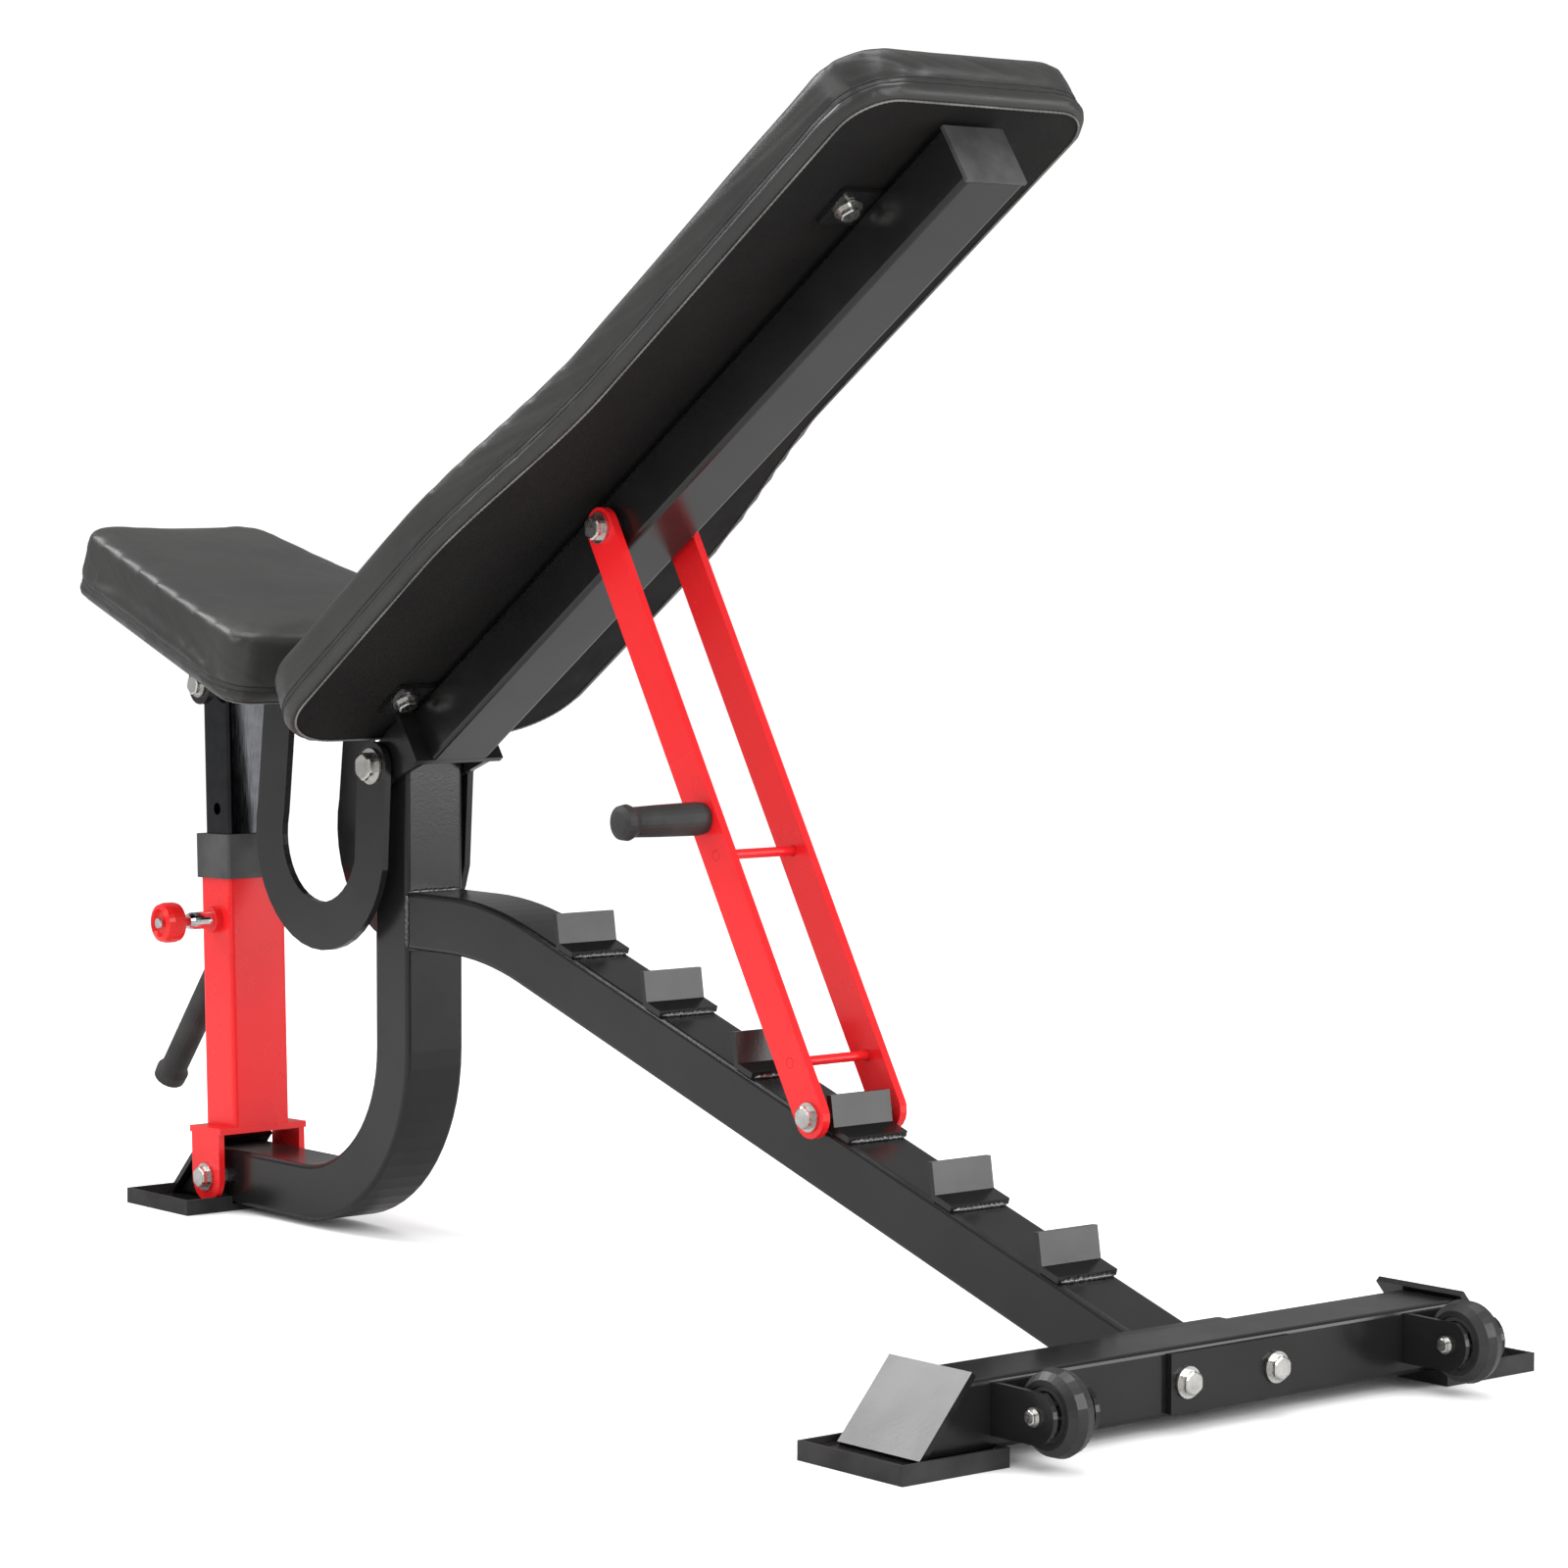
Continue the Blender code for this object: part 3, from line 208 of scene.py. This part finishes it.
def rubber(name, colour, low, high, grain=900.0, strength=0.25):
    """Rubber or moulded plastic, with a fine grain."""
    s = Shader(name)
    s.colours(s.noise(26.0, 5.0), colour, tuple(2.0 * value + 0.002 for value in colour))
    s.roughness(s.noise(50.0, 4.0), low, high)
    first = s.bump(s.cells(grain), strength, 0.0003)
    s.bump(s.noise(120.0, 3.0), 0.06, 0.0008, first)
    return s.material


def vinyl(name):
    """Upholstery vinyl: pebbled grain, fine pores and soft creases pulled round the foam."""
    s = Shader(name)
    s.colours(s.noise(5.0, 5.0), (0.020, 0.020, 0.0195), (0.030, 0.0295, 0.0285))
    s.roughness(s.noise(24.0, 5.0), 0.30, 0.40)
    creases = s.bump(s.noise(15.0, 2.0, stretch=(1.0, 1.0, 0.35), distortion=0.8), 0.09, 0.0050)
    grain = s.bump(s.cells(1050.0), 0.20, 0.00035, creases)
    s.bump(s.noise(2200.0, 2.0), 0.10, 0.00015, grain)
    s.put(Specular_IOR_Level=0.42)
    return s.material


def backing_cloth(name):
    """Black spun backing cloth with a fine weave."""
    s = Shader(name)
    s.colours(s.noise(7.0, 6.0), (0.0045, 0.0040, 0.0038), (0.0075, 0.0065, 0.0060))
    s.roughness(s.noise(30.0, 4.0), 0.70, 0.85)
    weave = s.node("ShaderNodeTexWave", wave_type="BANDS", bands_direction="DIAGONAL")
    weave.inputs["Scale"].default_value = 260.0
    weave.inputs["Distortion"].default_value = 3.0
    weave.inputs["Detail"].default_value = 2.0
    s.link(s.coords, weave.inputs["Vector"])
    first = s.bump(weave.outputs["Fac"], 0.14, 0.0003)
    s.bump(s.noise(900.0, 2.0), 0.12, 0.0003, first)
    s.put(Specular_IOR_Level=0.25)
    return s.material


MATERIALS = {
    "black_powder_coat": powder_coat("black_powder_coat", (0.0105, 0.0102, 0.0100),
                                     (0.0065, 0.0064, 0.0064), 0.17, 0.26, specular=0.5),
    "black_gloss_tube": metal("black_gloss_tube", (0.050, 0.051, 0.055), 0.07, 0.18,
                              (6.0, 6.0, 0.5), 120.0, 0.05),
    "red_powder_coat": powder_coat("red_powder_coat", (0.66, 0.0120, 0.0150), (0.63, 0.0105, 0.0135),
                                   0.22, 0.30, 0.07, 0.10, 0.30),
    "red_knob": powder_coat("red_knob", (0.63, 0.011, 0.010), (0.58, 0.009, 0.009), 0.20, 0.32, 0.03,
                            0.2, 0.35),
    "zinc_plate": metal("zinc_plate", (0.78, 0.77, 0.74), 0.20, 0.36, (1.0, 1.0, 1.0), 300.0, 0.12),
    "chrome": metal("chrome", (0.86, 0.86, 0.87), 0.05, 0.14, (1.0, 1.0, 1.0), 160.0, 0.02),
    "black_rubber": rubber("black_rubber", (0.012, 0.012, 0.012), 0.52, 0.68),
    "wheel_polyurethane": rubber("wheel_polyurethane", (0.010, 0.010, 0.010), 0.28, 0.44, 500.0,
                                 0.06),
    "grey_black_plastic": rubber("grey_black_plastic", (0.026, 0.026, 0.027), 0.42, 0.56, 800.0,
                                 0.14),
    "pad_backing": backing_cloth("pad_backing"),
    "black_vinyl": vinyl("black_vinyl"),
}
THREAD = rubber("seam_thread", (0.008, 0.008, 0.008), 0.5, 0.7)
PIPING = rubber("pale_piping", (0.075, 0.074, 0.070), 0.40, 0.60)
WELD = metal("weld_bead", (0.20, 0.20, 0.20), 0.20, 0.40, (1.0, 1.0, 1.0), 500.0, 0.4)


# ---------------------------------------------------------------- carried-over frame

def dress_frame():
    """Puts the finished materials on the frame's own pieces."""
    slots = {entry["node"]: entry["material_slot"] for entry in frame["record"]["subparts"]}
    for name, node in frame["nodes"].items():
        for slot in node.material_slots:
            slot.material = MATERIALS[slots[name]]


# ---------------------------------------------------------------- shapes

def tilted(place, degrees):
    """The frame of a tilting group: +X turned down by that many degrees about Y."""
    return Matrix.Translation(place) @ Matrix.Rotation(math.radians(degrees), 4, "Y")


BACK_FRAME = tilted(PIVOT, -BACKREST_ANGLE)
SEAT_FRAME = tilted(PIVOT, SEAT_ANGLE)
LADDER_FRAME = tilted(Vector((REAR_FACE + BEAM_END, 0.0, CROSSBAR_TOP)), BEAM_SLOPE)


def add_mesh(name, mesh, material, matrix=None):
    if matrix is not None:
        mesh.transform(matrix)
    mesh.materials.clear()
    mesh.materials.append(material)
    made = bpy.data.objects.new(name, mesh)
    bpy.context.scene.collection.objects.link(made)
    return made


def from_bmesh(bm, name):
    bmesh.ops.recalc_face_normals(bm, faces=bm.faces)
    mesh = bpy.data.meshes.new(name)
    bm.to_mesh(mesh)
    bm.free()
    return mesh


def skin(rings, closed_path=False):
    """Skins equal rings of points into a closed bmesh."""
    bm = bmesh.new()
    made = [[bm.verts.new(point) for point in ring] for ring in rings]
    pairs = list(zip(made, made[1:]))
    if closed_path:
        pairs.append((made[-1], made[0]))
    for a, b in pairs:
        for i in range(len(a)):
            j = (i + 1) % len(a)
            bm.faces.new((a[i], a[j], b[j], b[i]))
    if not closed_path:
        bm.faces.new(made[0])
        bm.faces.new(reversed(made[-1]))
    return bm


def smooth_step(value, low, high):
    t = min(max((value - low) / (high - low), 0.0), 1.0)
    return t * t * (3 - 2 * t)


def back_half(x):
    return BACK_HALF[0] + (BACK_HALF[1] - BACK_HALF[0]) * smooth_step(x, *BACK_TAPER)


def seat_half(x):
    front, rear = SEAT_PAD["x"]
    return SEAT_HALF[0] + (SEAT_HALF[1] - SEAT_HALF[0]) * (x - front) / (rear - front)


def evenly(points, spacing):
    """A closed loop of points, spaced evenly along itself."""
    loop = np.vstack([points, points[:1]])
    steps = np.linalg.norm(np.diff(loop, axis=0), axis=1)
    reach = np.concatenate([[0.0], np.cumsum(steps)])
    count = int(reach[-1] / spacing)
    at = np.linspace(0.0, reach[-1], count, endpoint=False)
    return np.stack([np.interp(at, reach, loop[:, k]) for k in range(loop.shape[1])], axis=1)


def pad_outline(pad, half_at, spacing=0.004):
    """The pad's outline, as evenly spaced points, with its normals pointing out."""
    (x0, x1), corners = pad["x"], pad["corners"]
    eased = [corners[0] * (1 - math.cos(math.radians(90 * k / 24))) for k in range(24)]
    stations = [x0 + step for step in eased]
    stations += list(np.linspace(x0 + corners[0], x1 - corners[1], 60))
    stations += sorted(x1 - corners[1] * (1 - math.cos(math.radians(90 * k / 24))) for k in range(24))
    side = []
    for at in stations:
        cut = 0.0
        for corner, depth in ((corners[0], at - x0), (corners[1], x1 - at)):
            if depth < corner:
                cut = corner - math.sqrt(max(corner**2 - (corner - depth) ** 2, 0.0))
        side.append((at, half_at(at) - cut))
    loop = np.array(side + [(at, -half) for at, half in reversed(side)])
    loop = evenly(loop, spacing)
    for _ in range(3):
        loop = 0.5 * loop + 0.25 * (np.roll(loop, 1, axis=0) + np.roll(loop, -1, axis=0))
    along = np.roll(loop, -1, axis=0) - np.roll(loop, 1, axis=0)
    out = np.stack([along[:, 1], -along[:, 0]], axis=1)
    out /= np.linalg.norm(out, axis=1, keepdims=True)
    if (out * (loop - loop.mean(axis=0))).sum() < 0:
        out = -out
    return loop, out


# ---------------------------------------------------------------- cushions

def foam_block(pad, half_at):
    """The foam and its board before they are covered: slightly small, with rounded edges."""
    loop, out = pad_outline(pad, half_at)
    under, top = pad["under"], pad["top"]
    # Inset and height, from inside the backing cloth, round the lower edge, up the side and over
    profile = [(0.0160, under + 0.0040), (0.0085, under + 0.0006), (0.0035, under + 0.0008),
               (0.0012, under + 0.0040), (0.0010, under + 0.0110), (0.0010, top - 0.0060),
               (0.0014, top - 0.0034), (0.0028, top - 0.0014), (0.0054, top - 0.0003), (0.0090, top)]
    rings = [[(*(place - normal * inset), z) for place, normal in zip(loop, out)]
             for inset, z in profile]
    return from_bmesh(skin(rings), "foam")


def remeshed(mesh):
    holder = add_mesh("foam_block", mesh, MATERIALS["black_vinyl"])
    remesh = holder.modifiers.new("even", "REMESH")
    remesh.mode = "VOXEL"
    remesh.voxel_size = VOXEL
    remesh.use_smooth_shade = True
    return baked(holder)


def baked(holder):
    """The mesh of an object as its modifiers make it. The object itself goes."""
    graph = bpy.context.evaluated_depsgraph_get()
    graph.update()
    mesh = bpy.data.meshes.new_from_object(holder.evaluated_get(graph))
    bpy.data.objects.remove(holder, do_unlink=True)
    return mesh


def points_of(mesh):
    points = np.empty(len(mesh.vertices) * 3, np.float32)
    mesh.vertices.foreach_get("co", points)
    return points.reshape(-1, 3).astype(float)


def put_points(mesh, points):
    mesh.vertices.foreach_set("co", points.astype(np.float32).ravel())
    mesh.update()


def inflate(mesh, pad):
    """Lets the cover swell as cloth over the foam, held at its underside."""
    start = points_of(mesh)
    holder = add_mesh("cover_cloth", mesh, MATERIALS["black_vinyl"])
    group = holder.vertex_groups.new(name="held")
    held = [int(i) for i in np.nonzero(start[:, 2] < pad["under"] + 0.010)[0]]
    group.add(held, 1.0, "REPLACE")
    cloth = holder.modifiers.new("cloth", "CLOTH")
    cloth.settings.quality = 5
    cloth.settings.mass = 0.3
    cloth.settings.tension_stiffness = 12.0
    cloth.settings.compression_stiffness = 8.0
    cloth.settings.shear_stiffness = 4.0
    cloth.settings.bending_stiffness = 0.4
    cloth.settings.vertex_group_mass = "held"
    cloth.settings.use_pressure = True
    cloth.settings.uniform_pressure_force = CLOTH_PRESSURE
    cloth.settings.effector_weights.gravity = 0.0
    cloth.point_cache.frame_start = 1
    cloth.point_cache.frame_end = CLOTH_FRAMES
    for step in range(1, CLOTH_FRAMES + 1):
        bpy.context.scene.frame_set(step)
    moved = baked(holder)
    swell = points_of(moved) - start
    length = np.linalg.norm(swell, axis=1, keepdims=True) + 1e-9
    put_points(moved, start + swell / length * MOST_SWELL * np.tanh(length / MOST_SWELL))
    bpy.context.scene.frame_set(1)
    return moved


def subdivided(mesh):
    holder = add_mesh("cover_fine", mesh, MATERIALS["black_vinyl"])
    fine = holder.modifiers.new("fine", "SUBSURF")
    fine.levels = 1
    fine.render_levels = 1
    return baked(holder)


def edge_distance(points, loop):
    """How far each point lies from the outline, in plan."""
    best = np.full(len(points), 1e9)
    for a, b in zip(loop, np.roll(loop, -1, axis=0)):
        span = b - a
        t = np.clip(((points - a) @ span) / (span @ span), 0.0, 1.0)
        best = np.minimum(best, np.linalg.norm(points - a - t[:, None] * span, axis=1))
    return best


def ripple(u, terms, seed):
    """A smooth wave with no repeat that the eye would catch."""
    rng = np.random.default_rng(seed)
    total = np.zeros_like(u)
    for k in terms:
        total += rng.uniform(0.4, 1.0) * np.sin(u * k + rng.uniform(0, math.tau)) / len(terms)
    return total


def tailor(mesh, pad, loop, seams):
    """Crowns the top, sews in the grooves and pulls soft creases into the side."""
    points = points_of(mesh)
    normals = np.empty(len(points) * 3, np.float32)
    mesh.vertex_normals.foreach_get("vector", normals)
    normals = normals.reshape(-1, 3).astype(float)
    coarse = loop[:: 4]
    depth = edge_distance(points[:, :2], coarse)
    height = (points[:, 2] - pad["under"]) / (pad["top"] - pad["under"])
    top = np.clip((height - 0.6) / 0.4, 0.0, 1.0)
    points[:, 2] += top * PAD_CROWN * (1 - np.exp(-depth / CROWN_RUN))
    side = np.clip(1.0 - np.abs(normals[:, 2]) * 1.4, 0.0, 1.0)
    sink = np.zeros(len(points))
    for level in seams:
        sink += SEAM_DEPTH * np.exp(-(((points[:, 2] - level) / SEAM_WIDTH) ** 2))
    u = np.arctan2(points[:, 1] * 2.2, points[:, 0] - np.mean(pad["x"]))
    lean = 16.0 * height
    creases = ripple(u * 1.0 + 0.04 * lean, (19, 27, 41, 58, 83), 3)
    wave = np.clip(height, 0.0, 1.0) * np.clip(1.15 - height, 0.0, 1.0) * 2.2
    middle = SIDE_CROWN * (1 - (2 * np.clip(height, 0, 1) - 1) ** 2)
    push = side * (CREASE_DEPTH * creases * wave - sink + middle)
    flat = normals.copy()
    flat[:, 2] = 0.0
    points += flat * push[:, None]
    points[:, 2] += top * TOP_WAVE * ripple(points[:, 0] * 21 + points[:, 1] * 9, (1, 1.7, 2.9), 5)
    put_points(mesh, points)
    return mesh


def cord_round(name, tree, loop, out, level, radius, material, matrix, beads=0.0, inset=None):
    """A thread or piping laid round the pad, on its surface or at an inset under it."""
    path = []
    for place, normal in zip(loop, out):
        if inset is not None:
            path.append(Vector((*(place - normal * inset), level)))
            continue
        start = Vector((*(place + normal * 0.04), level))
        hit = tree.ray_cast(start, Vector((*(-normal), 0.0)), 0.08)[0]
        path.append(hit if hit else Vector((*place, level)))
    rings = []
    for i, point in enumerate(path):
        along = (path[(i + 1) % len(path)] - path[i - 1]).normalized()
        up = Vector((0, 0, 1))
        side = along.cross(up).normalized()
        reach = radius * (1 + beads * math.cos(i * math.pi))
        rings.append([point + (side * math.cos(a) + up * math.sin(a)) * reach
                      for a in (math.tau * k / CORD_SIDES for k in range(CORD_SIDES))])
    mesh = from_bmesh(skin(rings, closed_path=True), name)
    mesh.shade_smooth()
    return add_mesh(name, mesh, material, matrix)


def make_cushion(name, pad, half_at, matrix, body, cushion_node, board_node):
    """A sewn pad: its cover, two seams, piping under its edge, and the backing cloth."""
    loop, out = pad_outline(pad, half_at)
    under = pad["under"]
    seams = [under + height for height in SEAM_HEIGHTS]
    cover = remeshed(foam_block(pad, half_at))
    cover = inflate(cover, pad)
    cover = tailor(subdivided(cover), pad, loop, seams)
    cover.shade_smooth()
    tree = BVHTree.FromPolygons([v.co.copy() for v in cover.vertices],
                                [tuple(p.vertices) for p in cover.polygons])
    piece = add_mesh(name, cover, MATERIALS["black_vinyl"], matrix)
    parts = []
    for index, level in enumerate(seams):
        parts.append(cord_round(f"{name}_seam_{index + 1}", tree, loop, out, level,
                                THREAD_RADIUS, THREAD, matrix))
    fine_loop, fine_out = pad_outline(pad, half_at, 0.0025)
    parts.append(cord_round(f"{name}_piping", tree, fine_loop, fine_out, under + 0.0002,
                            PIPING_RADIUS, PIPING, matrix, 0.16, PIPING_INSET))
    rings = [[(*(p - n * inset), z) for p, n in zip(loop, out)]
             for inset, z in ((0.012, under + 0.003), (0.0095, under + 0.0004),
                              (0.016, under), (0.030, under))]
    backing = add_mesh(f"{name}_backing", from_bmesh(skin(rings), "backing"),
                       MATERIALS["pad_backing"], matrix)
    for part in [piece, backing, *parts]:
        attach(part, body)
    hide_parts(cushion_node)
    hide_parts(board_node)


# ---------------------------------------------------------------- small details

def weld_bead(name, start, end, radius, body, matrix=None, seed=1):
    """A run of weld between two points, with its ripples."""
    start, end = Vector(start), Vector(end)
    along = end - start
    count = max(int(along.length / 0.0016), 6)
    side = along.normalized().orthogonal().normalized()
    up = along.normalized().cross(side)
    rng = np.random.default_rng(seed)
    rings = []
    for i in range(count + 1):
        t = i / count
        taper = min(1.0, 6 * t + 0.4, 6 * (1 - t) + 0.4)
        reach = radius * taper * (1 + 0.16 * math.cos(i * 2.1) + 0.10 * rng.uniform(-1, 1))
        drift = side * radius * 0.2 * rng.uniform(-1, 1)
        rings.append([start + along * t + drift + (side * math.cos(a) + up * math.sin(a)) * reach
                      for a in (math.tau * k / CORD_SIDES for k in range(CORD_SIDES))])
    mesh = from_bmesh(skin(rings), name)
    mesh.shade_smooth()
    bead = add_mesh(name, mesh, WELD, matrix)
    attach(bead, body)


def add_welds():
    """Beads behind the hooks and round the beam's joint to the upright."""
    ahead, half, height = HOOK_WELD
    for index in range(HOOKS):
        foot = -HOOK_FIRST - HOOK_PITCH * (HOOKS - 1 - index)
        weld_bead(f"hook_weld_{index + 1}", (foot + ahead, -half, height),
                  (foot + ahead, half, height), 0.0022, "main_frame", LADDER_FRAME, index)
    rear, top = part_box("upright_tube")[1].x, BEAM_TOP
    under = top - BEAM_DEPTH
    for side, word in ((-1, "left"), (1, "right")):
        weld_bead(f"beam_weld_{word}", (rear, side * 0.030, under + 0.002),
                  (rear, side * 0.030, top - 0.002), 0.0020, "main_frame", None, 20 + side)
    for word, level, seed in (("top", top, 31), ("under", under, 32)):
        weld_bead(f"beam_weld_{word}", (rear, -0.028, level), (rear, 0.028, level), 0.0020,
                  "main_frame", None, seed)


HUB_SPOKES = 8
HUB_SPOKE = (0.0072, 0.0048, 0.0016)
HUB_SPOKE_PLACE = (0.0122, 0.0082)      # out from the axle, and off the wheel's middle


def hub_ribs(side_word):
    """Moulded spokes in the dish of a wheel's hub."""
    low, high = (Vector(corner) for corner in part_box(f"wheel_hub_{side_word}"))
    centre = (low + high) / 2
    out, off = HUB_SPOKE_PLACE
    bm = bmesh.new()
    for k in range(HUB_SPOKES):
        turn = Matrix.Rotation(math.tau * k / HUB_SPOKES, 4, "Y")
        for sign in (-1, 1):
            made = bmesh.ops.create_cube(bm, size=1.0)["verts"]
            shape = Matrix.Diagonal((*HUB_SPOKE, 1.0))
            bmesh.ops.transform(bm, verts=made, matrix=Matrix.Translation(centre) @ turn
                                @ Matrix.Translation((out, sign * off, 0.0)) @ shape)
    bmesh.ops.bevel(bm, geom=list(bm.edges), offset=0.0004, segments=2, affect="EDGES")
    ribs = add_mesh(f"hub_ribs_{side_word}", from_bmesh(bm, "hub_ribs"),
                    MATERIALS["grey_black_plastic"])
    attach(ribs, f"wheel_{side_word}")


def knob_insert():
    """The bright end of the pull pin, flush in the middle of the knob's face."""
    low, high = (Vector(corner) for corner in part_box("pull_knob"))
    bm = bmesh.new()
    face = Matrix.Translation(((low.x + high.x) / 2, low.y - 0.0003, (low.z + high.z) / 2))
    bmesh.ops.create_cone(bm, cap_ends=True, segments=32, radius1=0.0052, radius2=0.0046, depth=0.0014,
                          matrix=face @ Matrix.Rotation(math.radians(90), 4, "X"))
    insert = add_mesh("knob_insert", from_bmesh(bm, "knob_insert"), MATERIALS["chrome"])
    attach(insert, "pull_pin")


# ---------------------------------------------------------------- studio

def area_light(name, place, aim, size, power, colour=(1.0, 1.0, 1.0)):
    data = bpy.data.lights.new(name, "AREA")
    data.shape = "RECTANGLE"
    data.size, data.size_y = size
    data.energy = power
    data.color = colour
    made = bpy.data.objects.new(name, data)
    made.location = place
    made.rotation_euler = (Vector(aim) - Vector(place)).to_track_quat("-Z", "Y").to_euler()
    bpy.context.scene.collection.objects.link(made)


def build_studio():
    world = bpy.data.worlds.new("studio")
    world.use_nodes = True
    background = world.node_tree.nodes["Background"]
    background.inputs["Color"].default_value = (1.0, 1.0, 1.0, 1.0)
    kind_of_ray = world.node_tree.nodes.new("ShaderNodeLightPath")
    strength = world.node_tree.nodes.new("ShaderNodeMapRange")
    strength.inputs["To Min"].default_value = WORLD_STRENGTH
    strength.inputs["To Max"].default_value = WORLD_IN_REFLECTIONS
    world.node_tree.links.new(kind_of_ray.outputs["Is Glossy Ray"], strength.inputs["Value"])
    world.node_tree.links.new(strength.outputs["Result"], background.inputs["Strength"])
    bpy.context.scene.world = world
    bpy.context.scene.view_settings.view_transform = "Standard"
    s = Shader("pale_floor")
    in_reflections = s.node("ShaderNodeLightPath").outputs["Is Glossy Ray"]
    white = s.ramp(in_reflections, 0.0, 1.0, FLOOR_WHITE, FLOOR_IN_REFLECTIONS)
    s.link(white, s.bsdf.inputs["Base Color"])
    s.put(Roughness=1.0, Specular_IOR_Level=0.0)
    size = 60.0
    bm = bmesh.new()
    corners = [(-size, -size, 0), (size, -size, 0), (size, size, 0), (-size, size, 0)]
    bm.faces.new([bm.verts.new(corner) for corner in corners])
    floor = add_mesh("floor", from_bmesh(bm, "floor"), s.material)
    area_light("rear_softbox", (3.6, 0.2, 1.9), (0.2, 0.0, 0.4), (2.6, 2.0), 70.0)
    area_light("near_softbox", (-0.6, -3.4, 2.3), (0.0, 0.0, 0.4), (3.2, 1.8), 42.0)
    area_light("overhead", (-0.2, 0.2, 3.6), (0.0, 0.0, 0.0), (3.0, 2.2), 70.0)
    area_light("front_card", (-2.3, -1.1, 2.65), (0.6, -0.3, 0.0), (1.5, 1.5), 55.0)
    area_light("low_card", (3.1, 2.7, 0.75), (0.2, 0.0, 0.25), (1.6, 1.2), 26.0)


def build_camera():
    azimuth, pitch, roll = (math.radians(v) for v in (CAMERA_AZIMUTH, CAMERA_PITCH, CAMERA_ROLL))
    right = Vector((math.cos(azimuth), math.sin(azimuth), 0.0))
    ahead = Vector((-math.sin(azimuth) * math.cos(pitch), math.cos(azimuth) * math.cos(pitch),
                    -math.sin(pitch)))
    up = right.cross(ahead)
    turned_right = right * math.cos(roll) + up * math.sin(roll)
    turned_up = up * math.cos(roll) - right * math.sin(roll)
    data = bpy.data.cameras.new("camera")
    data.lens = CAMERA_LENS
    data.sensor_width = 36.0
    data.clip_end = 200.0
    made = bpy.data.objects.new("camera", data)
    axes = Matrix((turned_right, turned_up, -ahead)).transposed().to_4x4()
    made.matrix_world = Matrix.Translation(CAMERA_PLACE) @ axes
    bpy.context.scene.collection.objects.link(made)
    bpy.context.scene.camera = made


build_studio()
build_camera()
dress_frame()
make_cushion("backrest_pad", BACK_PAD, back_half, BACK_FRAME, "backrest", "backrest_cushion",
             "backrest_board")
make_cushion("seat_pad", SEAT_PAD, seat_half, SEAT_FRAME, "seat", "seat_cushion", "seat_board")
add_welds()
for word in ("left", "right"):
    hub_ribs(word)
knob_insert()
